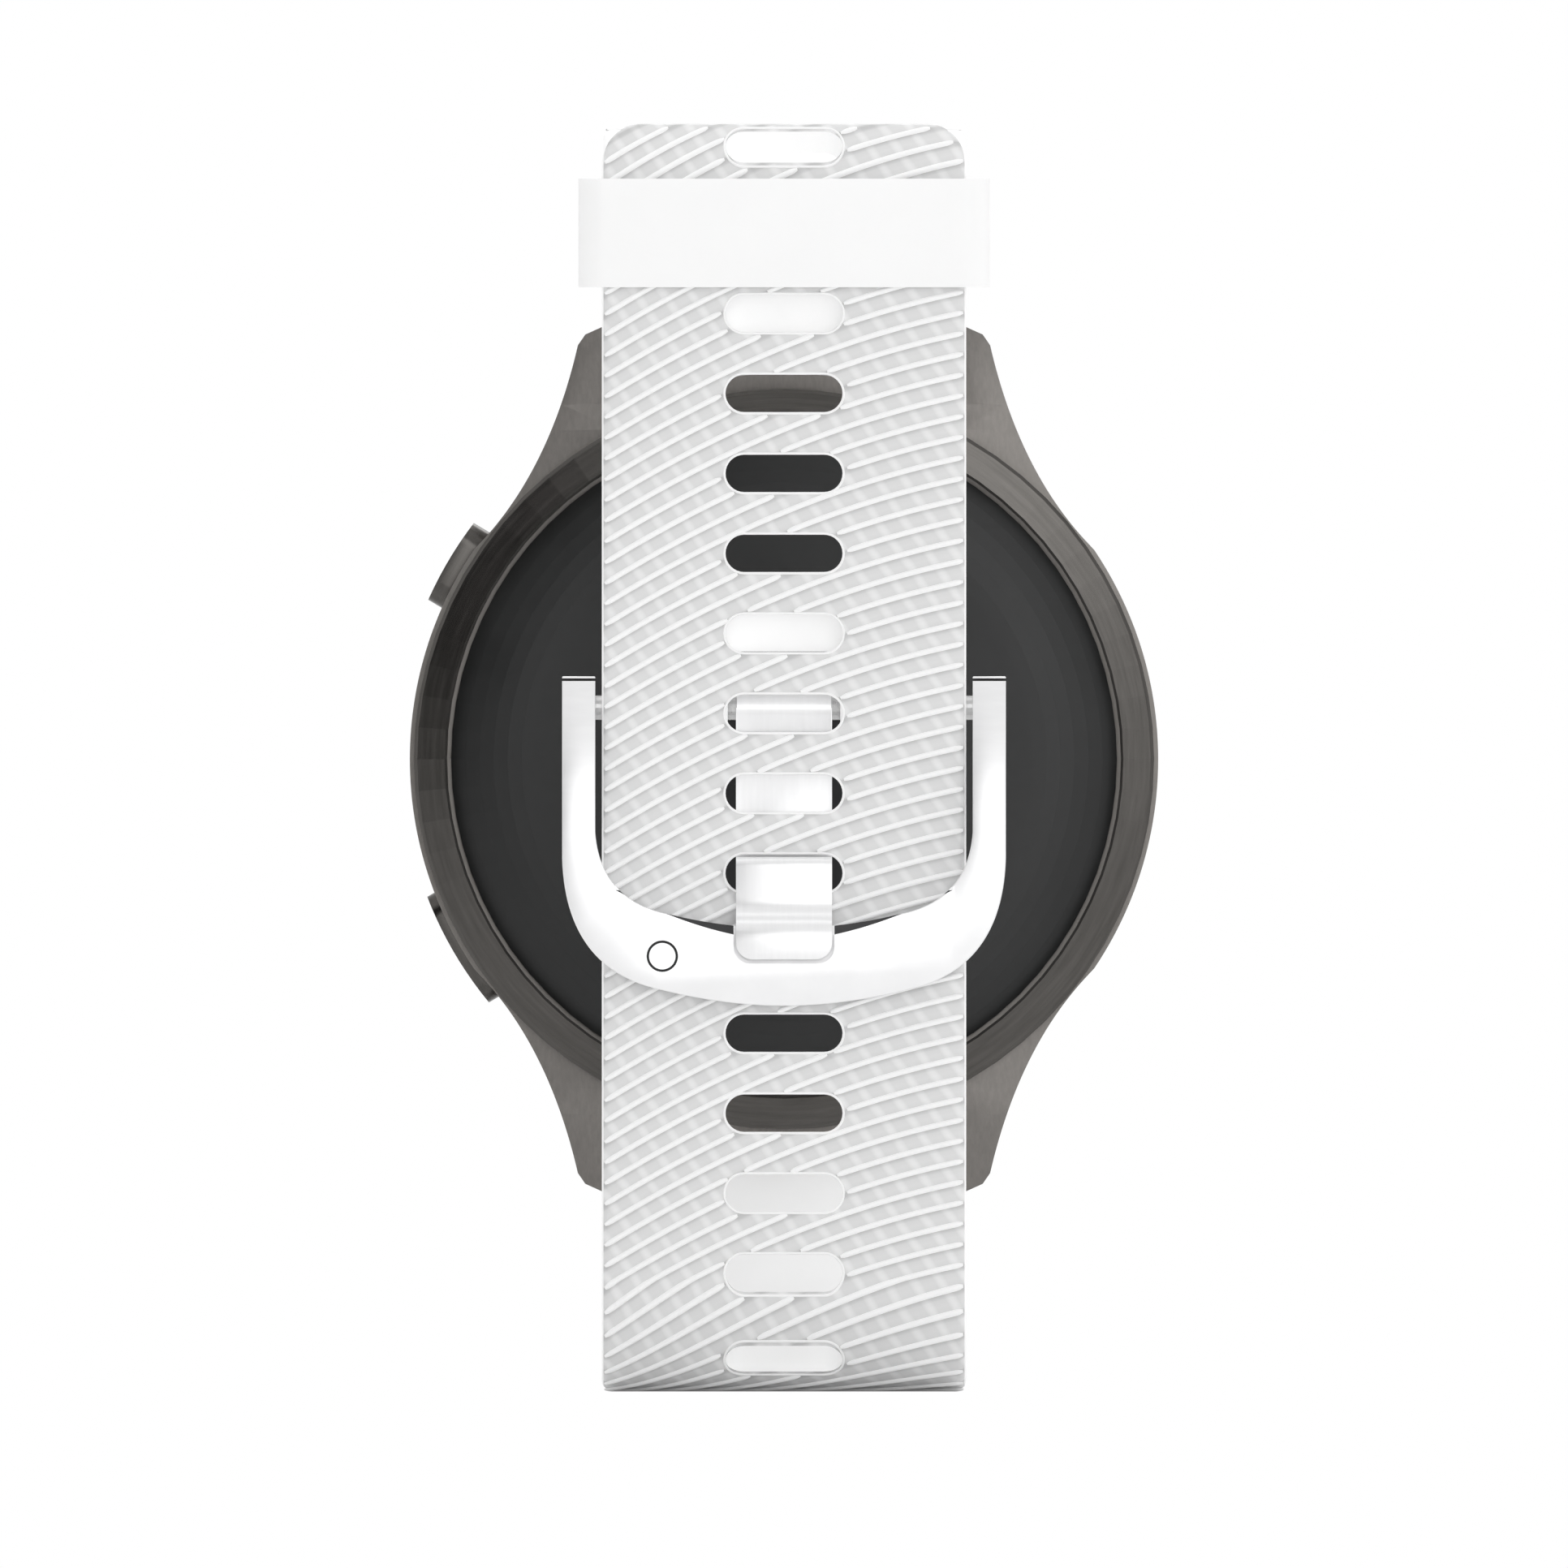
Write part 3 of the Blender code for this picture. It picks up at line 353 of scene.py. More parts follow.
for name, obj in NODES.items():
    obj.data.materials.clear()
    obj.data.materials.append(FINISHES.get(name, STEEL))


# Shapes

def link(mesh, name, matrix=None):
    obj = bpy.data.objects.new(name, mesh)
    bpy.context.scene.collection.objects.link(obj)
    if matrix:
        obj.matrix_world = matrix
    return obj


def arc(centre, radius, start, end, steps):
    angles = [math.radians(start + (end - start) * i / steps) for i in range(steps + 1)]
    return [(centre[0] + radius * math.cos(a), centre[1] + radius * math.sin(a)) for a in angles]


def bezier(p0, p1, p2, steps):
    found = []
    for i in range(steps + 1):
        t = i / steps
        found.append(
            tuple((1 - t) ** 2 * a + 2 * t * (1 - t) * b + t * t * c for a, b, c in zip(p0, p1, p2))
        )
    return found


def rounded_rectangle(half_w, half_h, radius, steps=6, centre=(0, 0)):
    points = []
    for sx, sy, start in ((1, 1, 0), (-1, 1, 90), (-1, -1, 180), (1, -1, 270)):
        corner = (centre[0] + sx * (half_w - radius), centre[1] + sy * (half_h - radius))
        points += arc(corner, radius, start, start + 90, steps)
    return points


def plate(outlines, thickness, matrix, name="plate"):
    """A flat outline in the local XY plane, with any holes after it, thickened along local Z."""
    curve = bpy.data.curves.new("outline", "CURVE")
    curve.dimensions = "2D"
    curve.fill_mode = "BOTH"
    curve.extrude = thickness * MM / 2
    for points in outlines:
        spline = curve.splines.new("POLY")
        spline.points.add(len(points) - 1)
        for point, (u, v) in zip(spline.points, points):
            point.co = (u * MM, v * MM, 0, 1)
        spline.use_cyclic_u = True
    guide = bpy.data.objects.new("outline", curve)
    bpy.context.scene.collection.objects.link(guide)
    graph = bpy.context.evaluated_depsgraph_get()
    mesh = bpy.data.meshes.new_from_object(guide.evaluated_get(graph))
    bpy.data.objects.remove(guide)
    bpy.data.curves.remove(curve)
    bm = bmesh.new()
    bm.from_mesh(mesh)
    bmesh.ops.remove_doubles(bm, verts=bm.verts, dist=1e-7)
    bmesh.ops.recalc_face_normals(bm, faces=bm.faces)
    bm.to_mesh(mesh)
    bm.free()
    return link(mesh, name, matrix)


def block(size, matrix):
    bm = bmesh.new()
    bmesh.ops.create_cube(bm, size=1)
    bmesh.ops.scale(bm, vec=Vector(size) * MM, verts=bm.verts)
    mesh = bpy.data.meshes.new("block")
    bm.to_mesh(mesh)
    bm.free()
    return link(mesh, "block", matrix)


def boolean(obj, cutters, operation="DIFFERENCE"):
    for cutter in cutters:
        modifier = obj.modifiers.new("cut", "BOOLEAN")
        modifier.operation = operation
        modifier.object = cutter


def bevel(obj, width, segments=3, angle=30):
    modifier = obj.modifiers.new("edges", "BEVEL")
    modifier.width = width * MM
    modifier.segments = segments
    modifier.limit_method = "ANGLE"
    modifier.angle_limit = math.radians(angle)


def settle(obj, cutters, material, smooth=35):
    """Turns obj's modifiers into its mesh, removes the cutters and shades it."""
    bpy.context.view_layer.update()
    graph = bpy.context.evaluated_depsgraph_get()
    mesh = bpy.data.meshes.new_from_object(obj.evaluated_get(graph))
    obj.modifiers.clear()
    obj.data = mesh
    mesh.materials.clear()
    mesh.materials.append(material)
    mesh.shade_smooth()
    mesh.set_sharp_from_angle(angle=math.radians(smooth))
    for cutter in cutters:
        bpy.data.objects.remove(cutter)
    return obj


# The strap's two halves, each swept along a path in the Y-Z plane

class Path:
    """Straights and bends in the Y-Z plane. side is +1 where the outer face is on the left."""

    def __init__(self, start, heading, side, pieces):
        self.side = side
        self.pieces = []
        y, z, s = start[0], start[1], 0.0
        for kind, a, b in pieces:
            self.pieces.append((s, kind, (y, z), heading, a, b))
            if kind == "line":
                y += a * math.cos(math.radians(heading))
                z += a * math.sin(math.radians(heading))
                s += a
            else:
                turn = math.copysign(90, b)
                centre_way = math.radians(heading + turn)
                cy, cz = y + a * math.cos(centre_way), z + a * math.sin(centre_way)
                heading += b
                out = math.radians(heading - turn)
                y, z = cy + a * math.cos(out), cz + a * math.sin(out)
                s += a * math.radians(abs(b))
        self.length = s

    def spot(self, s):
        """(y, z, heading) at the length s along the centreline."""
        found = self.pieces[0]
        for piece in self.pieces:
            if piece[0] <= s:
                found = piece
        begin, kind, (y, z), heading, a, b = found
        along = s - begin
        if kind == "line":
            h = math.radians(heading)
            return y + along * math.cos(h), z + along * math.sin(h), heading
        turn = math.copysign(90, b)
        centre_way = math.radians(heading + turn)
        cy, cz = y + a * math.cos(centre_way), z + a * math.sin(centre_way)
        now = heading + math.copysign(math.degrees(along / a), b)
        out = math.radians(now - turn)
        return cy + a * math.cos(out), cz + a * math.sin(out), now

    def place(self, x, s, out):
        """The point at x across, s along and out from the centreline, from the case's centre."""
        y, z, heading = self.spot(s)
        n = math.radians(heading + 90 * self.side)
        return Vector((x, y + out * math.cos(n), z + out * math.sin(n)))

    def turn(self, s):
        """A matrix whose local X is across, local Z outwards and local Y along the strap."""
        heading = self.spot(s)[2]
        n, h = math.radians(heading + 90 * self.side), math.radians(heading)
        out = Vector((0, math.cos(n), math.sin(n)))
        along = Vector((0, math.cos(h), math.sin(h)))
        across = along.cross(out)
        return Matrix((across, along, out)).transposed().to_4x4()


TAIL = Path(
    (BAR_Y, -BAR_Z),
    270.0,
    1,
    [
        ("line", -BAR_Z - LOW_Z, 0),
        ("bend", BEND_TAIL, -90.0),
        ("line", BAR_Y - TAIL_Y - 2 * BEND_TAIL, 0),
        ("bend", BEND_TAIL, -90.0),
        ("line", TOP_BEND_Z - LOW_Z, 0),
        ("bend", TIP_R, -TIP_TURN),
    ],
)
BUCKLE_HALF = Path(
    (BAR_Y, BAR_Z),
    90.0,
    -1,
    [
        ("line", TOP_BEND_Z - BAR_Z, 0),
        ("bend", BEND_BUCKLE, 90.0),
        ("line", BAR_Y - BUCKLE_Y - 2 * BEND_BUCKLE, 0),
        ("bend", BEND_BUCKLE, 90.0),
        ("line", TOP_BEND_Z - PIN_Z, 0),
    ],
)
TAIL_FRONT_START = TAIL.pieces[4][0]  # where the tail's front run begins, at LOW_Z
BUCKLE_FRONT_START = BUCKLE_HALF.pieces[4][0]
RIBS_START = 3.5
# The buckle half's front run past this gets the whiter, glowing inner silicone as painted light, to
# brighten it where it shows through the slots.
BUCKLE_RIBS_END = BUCKLE_FRONT_START - 7.5  # the rest is plain, under the tail


def tail_s(z):
    """The length along the tail at that height of its front run."""
    return TAIL_FRONT_START + z - LOW_Z


def buckle_s(z):
    return BUCKLE_FRONT_START + TOP_BEND_Z - z


def round_end(distance, radius):
    """How far a rounded end draws in, that far from where it ends."""
    if distance >= radius:
        return 0.0
    return radius - math.sqrt(max(radius**2 - (radius - distance) ** 2, 0.0))


def section(half_w, half_t, corner, columns=12, steps=5):
    """The strap's cross-section as (x, out) points, with rounded corners."""
    corner = min(corner, half_t * 0.98, half_w * 0.98)
    points = []
    flat = half_w - corner
    for sx, sy, start in ((1, 1, 0), (-1, 1, 90), (-1, -1, 180), (1, -1, 270)):
        centre = (sx * flat, sy * (half_t - corner))
        points += arc(centre, corner, start, start + 90, steps)
        if start in (0, 180):
            points += [
                (sx * flat * (1 - 2 * i / columns), sy * half_t) for i in range(1, columns)
            ]
    return points


def sweep(name, path, stations, corner):
    """Skins the path with a section at each station, (s, half width, half thickness)."""
    bm = bmesh.new()
    uv = bm.loops.layers.uv.new("UVMap")
    rings = []
    for s, half_w, half_t in stations:
        ring = []
        for x, out in section(half_w, half_t, corner):
            vert = bm.verts.new(path.place(x, s, out) * MM)
            ring.append((vert, (x, s)))
        rings.append(ring)
    count = len(rings[0])
    for one, two in zip(rings, rings[1:]):
        for i in range(count):
            j = (i + 1) % count
            corners = [one[i], one[j], two[j], two[i]]
            face = bm.faces.new([c[0] for c in corners])
            for loop, c in zip(face.loops, corners):
                loop[uv].uv = c[1]
    for ring in (rings[0], rings[-1]):
        face = bm.faces.new([c[0] for c in ring])
        for loop, c in zip(face.loops, ring):
            loop[uv].uv = c[1]
    bmesh.ops.recalc_face_normals(bm, faces=bm.faces)
    mesh = bpy.data.meshes.new(name)
    bm.to_mesh(mesh)
    bm.free()
    return link(mesh, name, at())


def slot_cutter(path, s, length=SLOT_L, height=SLOT_H):
    outline = rounded_rectangle(length / 2, height / 2, height / 2 - 0.001, 8)
    spot = path.place(0, s, 0)
    return plate([outline], STRAP_T + 1.4, at(*spot, path.turn(s)))


def spread(start, end, step):
    count = max(1, round((end - start) / step))
    return [start + (end - start) * i / count for i in range(count + 1)]


def rise(x):
    """How much further along a rib is at x than at the strap's edge on the left."""
    u = x + STRAP_W / 2
    return RIB_SLOPE * u - RIB_CURVE * u * u


RIM = 0.16  # the plain border left round each slot


def in_slot(x, s, slots, margin):
    reach = SLOT_L / 2 - SLOT_H / 2
    for centre in slots:
        dx = max(abs(x) - reach, 0.0)
        if math.hypot(dx, s - centre) < SLOT_H / 2 + margin:
            return True
    return False


def ribs(name, path, start, end, slots, half_w, sign, skip=None):
    """Raised ribs that cross the strap's outer face in long curves, cut away round the slots."""
    verts, faces = [], []
    profile = ((-0.5, -0.05), (-0.3, 0.75), (0.0, 1.0), (0.3, 0.75), (0.5, -0.05))
    reach = half_w - 0.18
    xs = spread(-reach, reach, 0.2)
    first = math.floor((start - 14) / RIB_PITCH)
    last = math.ceil((end + 14) / RIB_PITCH)
    for j in range(first, last):
        run = []
        for x in xs + [None]:
            s = None if x is None else j * RIB_PITCH + sign * rise(x)
            kept = (
                s is not None
                and start < s < end
                and not in_slot(x, s, slots, RIM)
                and not (skip and skip(x, s))
            )
            if kept:
                run.append((x, s))
                continue
            if len(run) > 2:
                add_rib(verts, faces, path, run, profile, sign)
            run = []
    mesh = bpy.data.meshes.new(name)
    mesh.from_pydata(verts, [], faces)
    mesh.materials.append(RIB)
    mesh.shade_smooth()
    return link(mesh, name, at())


def add_rib(verts, faces, path, run, profile, sign):
    base = len(verts)
    n = len(profile)
    for i, (x, s) in enumerate(run):
        slope = sign * (RIB_SLOPE - 2 * RIB_CURVE * (x + STRAP_W / 2))
        across = math.hypot(1, slope)
        low = min(i, len(run) - 1 - i)
        size = (0.5, 0.85)[low] if low < 2 else 1.0
        for u, h in profile:
            dx = -u * RIB_W * slope / across * size
            ds = u * RIB_W / across * size
            out = STRAP_T / 2 + h * RIB_H * size
            verts.append(path.place(x + dx, s + ds, out) * MM)
    for i in range(len(run) - 1):
        for k in range(n - 1):
            a = base + i * n + k
            faces.append((a, a + 1, a + n + 1, a + n))


def slot_rims(name, path, slots):
    """A low raised rim round each slot."""
    bm = bmesh.new()
    profile = ((0.0, -0.05), (0.02, 0.04), (0.08, 0.07), (0.14, 0.04), (0.16, -0.05))
    for centre in slots:
        rings = []
        for grow, height in profile:
            wide = rounded_rectangle(
                SLOT_L / 2 + grow, SLOT_H / 2 + grow, SLOT_H / 2 + grow - 0.001, 8
            )
            rings.append(
                [
                    bm.verts.new(path.place(x, centre + v, STRAP_T / 2 + height) * MM)
                    for x, v in wide
                ]
            )
        for one, two in zip(rings, rings[1:]):
            for i in range(len(one)):
                j = (i + 1) % len(one)
                bm.faces.new((one[i], one[j], two[j], two[i]))
    bmesh.ops.recalc_face_normals(bm, faces=bm.faces)
    mesh = bpy.data.meshes.new(name)
    bm.to_mesh(mesh)
    bm.free()
    # the whiter rib silicone, a painted highlight on the rims
    mesh.materials.append(RIB)
    mesh.shade_smooth()
    return link(mesh, name, at())


def bend_stations(path, start, end):
    """Lengths along the path that are close together in its bends."""
    found = {start, end}
    for begin, kind, *_, a, b in path.pieces:
        size = a if kind == "line" else a * math.radians(abs(b))
        step = 3.0 if kind == "line" else 0.35
        found |= {s for s in spread(begin, begin + size, step) if start < s < end}
    return found


TIP_CORNER, TIP_EDGE = 2.6, 0.45  # how the tail's tip is rounded, across and through
BARREL_R, PIN_BARREL_R = 1.2, 1.45
TAPER = 3.0  # the length from a barrel's axis to the strap's even thickness
BUCKLE_HALF_W = STRAP_W / 2 - 0.1
LUG_STEP = ROOT_END - BAR_Z  # where the strap steps out beyond the lugs


def strap_half_width(s, full):
    """The strap is narrower between the lugs and steps out beyond their tips."""
    way = min(max((s - LUG_STEP + 0.15) / 0.5, 0.0), 1.0)
    ease = way * way * (3 - 2 * way)
    return ROOT_W / 2 + (full - ROOT_W / 2) * ease


def barrel_half_thickness(distance, radius):
    """Half the strap's thickness that far from a barrel's axis, negative towards its end."""
    if distance < 0:
        return math.sqrt(max(radius**2 - distance**2, 0.0004))
    return radius + (STRAP_T / 2 - radius) * min(distance / TAPER, 1.0)


def root_stations(path):
    """Lengths along a half, close together in its bends, its bar's barrel and its step."""
    found = bend_stations(path, -BARREL_R, path.length)
    found |= {-BARREL_R * math.cos(math.radians(a)) for a in range(0, 91, 10)}
    return found | set(spread(LUG_STEP - 0.3, LUG_STEP + 0.5, 0.1))


def tail_stations():
    end = TAIL.length
    lengths = root_stations(TAIL)
    lengths |= {end - TIP_CORNER * (1 - math.cos(math.radians(a))) for a in range(0, 91, 7)}
    lengths |= {end - back for back in (0.02, 0.08, 0.18, 0.32)}
    stations = []
    for s in sorted({round(s, 4) for s in lengths}):
        half_w = strap_half_width(s, STRAP_W / 2) - round_end(end - s, TIP_CORNER)
        half_t = barrel_half_thickness(s, BARREL_R) - round_end(end - s, TIP_EDGE)
        stations.append((s, half_w, half_t))
    return stations


def buckle_stations():
    pin = BUCKLE_HALF.length
    lengths = root_stations(BUCKLE_HALF) | {pin - TAPER}
    lengths |= {pin + PIN_BARREL_R * math.sin(math.radians(a)) for a in range(0, 91, 10)}
    stations = []
    for s in sorted({round(s, 4) for s in lengths}):
        half_t = barrel_half_thickness(s, BARREL_R)
        if s > TAPER:
            half_t = barrel_half_thickness(pin - s, PIN_BARREL_R)
        stations.append((s, strap_half_width(s, BUCKLE_HALF_W), half_t))
    return stations


def release_window(z):
    """The cutter of the opening in which the bar's release pin slides."""
    return block((3.4, 3.0, 1.5), at(-6.9, BAR_Y - 1.5, z))


def dress(strap, path, end):
    """Gives the plain silicone, whiter and with a painted glow, to the inner side, the cut walls
    and all that lies past end.
    """
    mesh = strap.data
    mesh.materials.append(STRAP_INSIDE)
    uv = mesh.uv_layers[0].data
    for face in mesh.polygons:
        s = sum(uv[i].uv[1] for i in face.loop_indices) / face.loop_total
        out = path.turn(s).to_3x3().col[2]
        outer = out.dot(face.normal) > 0.6 and 0.01 < s < end
        face.material_index = 0 if outer else 1


def past_tip(x, s):
    """Whether that point lies beyond the tail's rounded tip."""
    return TAIL.length - s < 0.5 + round_end(STRAP_W / 2 - abs(x), TIP_CORNER)


def make_tail():
    slots = [tail_s(SLOT_ZERO_Z + SLOT_PITCH * k) for k in range(-11, 5)]
    strap = sweep("tail_strap_body", TAIL, tail_stations(), 0.5)
    cutters = [slot_cutter(TAIL, s) for s in slots] + [release_window(-BAR_Z)]
    boolean(strap, cutters)
    settle(strap, cutters, STRAP)
    dress(strap, TAIL, TAIL.length + 1)
    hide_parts("tail_strap")
    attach(strap, "tail_half")
    ribs_end = TAIL.length - 0.5
    raised = ribs(
        "tail_strap_ribs", TAIL, RIBS_START, ribs_end, slots, STRAP_W / 2, 1, past_tip
    )
    rims = slot_rims("tail_slot_rims", TAIL, slots)
    for obj in (raised, rims):
        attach(obj, "tail_half")


def make_buckle_half():
    slots = [buckle_s(SLOT_ZERO_Z + SLOT_PITCH * k) for k in (-1, 0, 1)]
    strap = sweep("buckle_strap_body", BUCKLE_HALF, buckle_stations(), 0.5)
    cutters = [slot_cutter(BUCKLE_HALF, s) for s in slots]
    cutters.append(block((TONGUE_W + 1.0, 6, 8), at(0, BUCKLE_Y, PIN_Z - 0.6)))
    cutters.append(release_window(BAR_Z))
    boolean(strap, cutters)
    settle(strap, cutters, BUCKLE_STRAP)
    dress(strap, BUCKLE_HALF, BUCKLE_RIBS_END)
    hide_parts("buckle_strap")
    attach(strap, "buckle_half")
    raised = ribs(
        "buckle_strap_ribs", BUCKLE_HALF, RIBS_START, BUCKLE_RIBS_END, slots, BUCKLE_HALF_W, -1
    )
    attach(raised, "buckle_half")


# Case

CASE_R, BORE_R, LUG_GAP, LUG_TIP = 22.6, 19.2, 21.2, 26.1
CASE_BACK, CASE_FRONT = -4.3, 3.4
BUTTONS = {  # angle, length, width, how far the cap stands out
    "upper": (30.7, 5.4, 2.8, 0.95),
    "middle": (0.0, 7.0, 2.2, 0.0),
    "lower": (-30.3, 7.4, 2.8, 0.5),
}
BUTTON_TRAVEL, BUTTON_GAP = 0.4, 0.2
CAP_T, STEM_R, STEM_END = 1.8, 0.85, 19.15


def lug_half():
    """The case's outline at x > 0 from the foot of the lower lugs' gap to the upper one."""
    gap = LUG_GAP / 2
    inner = [(gap, math.sqrt(CASE_R**2 - gap**2)), (gap, LUG_TIP)]
    tip = [(gap + 0.4, LUG_TIP), (gap + 1.4, LUG_TIP - 0.45)]
    flank = bezier((gap + 1.85, LUG_TIP - 1.1), (14.2, 17.4), (18.4, 13.0), 30)
    edge = inner + tip + flank
    lower = [(x, -z) for x, z in edge]
    return lower + arc((0, 0), CASE_R, -34, 34, 60) + list(reversed(edge))


def case_outline():
    """The case with its four lugs, and the round wall between each pair."""
    gap_angle = math.degrees(math.acos(LUG_GAP / 2 / CASE_R))
    wall = arc((0, 0), CASE_R, gap_angle, 180 - gap_angle, 40)[1:-1]
    right = lug_half()
    left = [(-x, z) for x, z in reversed(right)]
    return right + wall + left + [(x, -z) for x, z in reversed(wall)]


LIP_R, LIP_FRONT = 23.3, -2.2


def lip(middle):
    """The low lip that stands in front of the strap's end, between two lugs."""
    half = math.degrees(math.asin((LUG_GAP / 2 - 0.2) / LIP_R))
    outer = arc((0, 0), LIP_R, middle - half, middle + half, 40)
    return outer + arc((0, 0), LIP_R - 1.8, middle + half, middle - half, 40)


def button_matrix(angle, radius):
    """A place on the case's side at x < 0: local Z points out of the case."""
    a = math.radians(180 - angle)
    out = Vector((math.cos(a), 0, math.sin(a)))
    along = Vector((0, 1, 0))
    turn = Matrix((along.cross(out), along, out)).transposed().to_4x4()
    spot = out * radius
    return at(spot.x, -0.4, spot.z, turn)


def disc(radius, steps):
    return arc((0, 0), radius, 0, 360 - 360 / steps, steps - 1)


def make_case():
    shell = front_plate([case_outline()], CASE_BACK, CASE_FRONT, "case_shell_body")
    front = bezier((CASE_FRONT + 0.5, 16), (CASE_FRONT - 0.4, 21.5), (0.9, LUG_TIP + 1), 24)
    back = bezier((-2.9, LUG_TIP + 1), (CASE_BACK, 23.5), (CASE_BACK - 0.2, 19), 24)
    upper = front + back
    lower = [(y, -z) for y, z in reversed(upper)]
    shape = [side_plate(upper + lower, 60)]
    boolean(shell, shape, "INTERSECT")
    bore = [plate([disc(BORE_R, 96)], 20, at(0, 0, 0, ALONG_BACK))]
    boolean(shell, bore)
    bevel(shell, 0.3, 3)
    lips = [front_plate([lip(middle)], CASE_BACK + 0.1, LIP_FRONT) for middle in (90, 270)]
    boolean(shell, lips, "UNION")
    holes = []
    for angle, length, width, proud in BUTTONS.values():
        pocket = rounded_rectangle(length / 2 + BUTTON_GAP, width / 2 + BUTTON_GAP, width / 2)
        floor = CASE_R + proud - 1.6 - BUTTON_TRAVEL - 0.25
        holes.append(plate([pocket], 4, button_matrix(angle, floor + 2)))
        holes.append(plate([disc(1.0, 24)], 8, button_matrix(angle, 20)))
    for z in (-BAR_Z, BAR_Z):
        holes.append(plate([disc(0.5, 24)], LUG_GAP + 2.2, at(0, BAR_Y, z, ALONG_X)))
    boolean(shell, holes)
    settle(shell, shape + bore + lips + holes, LUG_BRONZE)
    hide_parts("case_shell")
    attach(shell, "case")


def make_buttons():
    """Caps with soft edges that follow the round of the case, each on its stem."""
    for name, (angle, length, width, proud) in BUTTONS.items():
        top = CASE_R + proud
        outline = rounded_rectangle(length / 2, width / 2, width / 2 - 0.05, 10)
        cap = plate([outline], CAP_T, button_matrix(angle, top - 0.7), f"{name}_button_body")
        drum = plate([disc(top, 192)], 12, at(0, 0, 0, ALONG_BACK))
        boolean(cap, [drum], "INTERSECT")
        bevel(cap, 0.42, 4)
        stem_length = top - 1.0 - STEM_END
        place = button_matrix(angle, STEM_END + stem_length / 2)
        stem = plate([disc(STEM_R, 32)], stem_length, place)
        boolean(cap, [stem], "UNION")
        settle(cap, [drum, stem], BRONZE)
        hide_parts(f"{name}_button")
        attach(cap, f"{name}_button")


# Buckle and keeper

def front_plate(outlines, back, front, name="plate"):
    """Outlines of (x, z) points, extruded from y = back to y = front."""
    return plate(outlines, front - back, at(0, (back + front) / 2, 0, FACE_ON), name)


def side_plate(points, width):
    """An outline of (y, z) points, extruded along X."""
    return plate([points], width, at(0, 0, 0, SIDE_ON))


def frame_outline():
    """The buckle frame seen from the front: a U whose lower bar bulges down."""
    w, inner = FRAME_HALF_W, FRAME_HALF_W - ARM_W
    outer = [(inner, FRAME_TOP), (w, FRAME_TOP)]
    outer += bezier((w, -6.0), (w - 0.2, -12.6), (7.6, -13.9), 28)
    outer += bezier((7.6, -13.9), (3.6, -14.9), (0, FRAME_BOTTOM), 12)[1:]
    back = bezier((0, -10.3), (4.0, -10.1), (6.8, -9.4), 12)
    back += bezier((6.8, -9.4), (inner - 0.3, -8.6), (inner, -4.4), 24)[1:]
    left = [(-x, z) for x, z in reversed(outer[:-1])]
    left_back = [(-x, z) for x, z in reversed(back[1:])]
    return outer + left + left_back + back


def frame_side():
    """The frame seen from the side: it steps out from the pin, over the tail strap."""
    outer = bezier((-43.4, FRAME_TOP + 1), (-46.9, 0), (-47.1, -6), 32)
    inner = bezier((-45.3, -8), (-44.9, -4), (-42.4, -0.5), 20)
    low = FRAME_BOTTOM - 1
    return (
        outer
        + [(-47.1, low), (-45.3, low)]
        + inner
        + [(-40.4, 1.4), (-39.5, 2.2), (-39.5, FRAME_TOP + 1)]
    )


# The cuts to these floors hold painted shade: darken() gives them the dark steel.
LEDGE_Y, HEAD_Y = -46.6, -42.6  # the floors of the cuts in the frame's front


def crescent(low, top):
    """A closed outline between two curves that start at x = 0, mirrored in X."""
    left_low = [(-x, z) for x, z in reversed(low[1:])]
    left_top = [(-x, z) for x, z in reversed(top[1:])]
    return left_low + low + list(reversed(left_top + top))


def darken(buckle):
    """Gives the painted shade, a dark copy of the steel, to the ledges that are cut into the
    frame's front.
    """
    mesh = buckle.data
    mesh.materials.append(PAINTED_SHADE_STEEL)
    for face in mesh.polygons:
        spot = (buckle.matrix_world @ face.center - CENTRE) / MM
        facing = (buckle.matrix_world.to_3x3() @ face.normal).y < -0.9
        ledge = spot.z < -8 and abs(spot.y - LEDGE_Y) < 0.02
        head = spot.z > 4.5 and abs(spot.y - HEAD_Y) < 0.02
        face.material_index = 1 if facing and (ledge or head) else 0


def make_frame():
    buckle = front_plate([frame_outline()], -50, -38, "buckle_frame_body")
    side = side_plate(frame_side(), 40)
    boolean(buckle, [side], "INTERSECT")
    bevel(buckle, 0.3, 3, 40)
    recess = rounded_rectangle(TONGUE_W / 2 + 0.15, 2.4, 1.0, 8, (0, -9.95))
    cuts = [front_plate([recess], -49, -46.3)]
    cuts.append(plate([disc(PIN_BORE_R, 24)], 25.4, at(0, BUCKLE_Y, PIN_Z, ALONG_X)))
    mark = [arc((-7.35, -11.9), r, 0, 352.5, 47) for r in (0.95, 0.8)]
    cuts.append(front_plate(mark, -47.5, LEDGE_Y))
    # A shallow crescent under the bar's inner edge and thin strips along the arms' tops, whose
    # floors carry painted shade.
    low = bezier((0, -11.0), (4.8, -10.75), (10.2, -7.9), 20)
    top = bezier((0, -9.9), (4.0, -9.7), (10.2, -7.4), 20)
    cuts.append(front_plate([crescent(low, top)], -49, LEDGE_Y))
    for side_x in (-1, 1):
        head = [(side_x * x, z) for x, z in ((11, 4.72), (14, 4.72), (14, 4.88), (11, 4.88))]
        cuts.append(front_plate([head], -49, HEAD_Y))
    boolean(buckle, cuts)
    settle(buckle, cuts + [side], BUCKLE)
    darken(buckle)
    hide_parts("buckle_frame")
    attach(buckle, "buckle_frame")


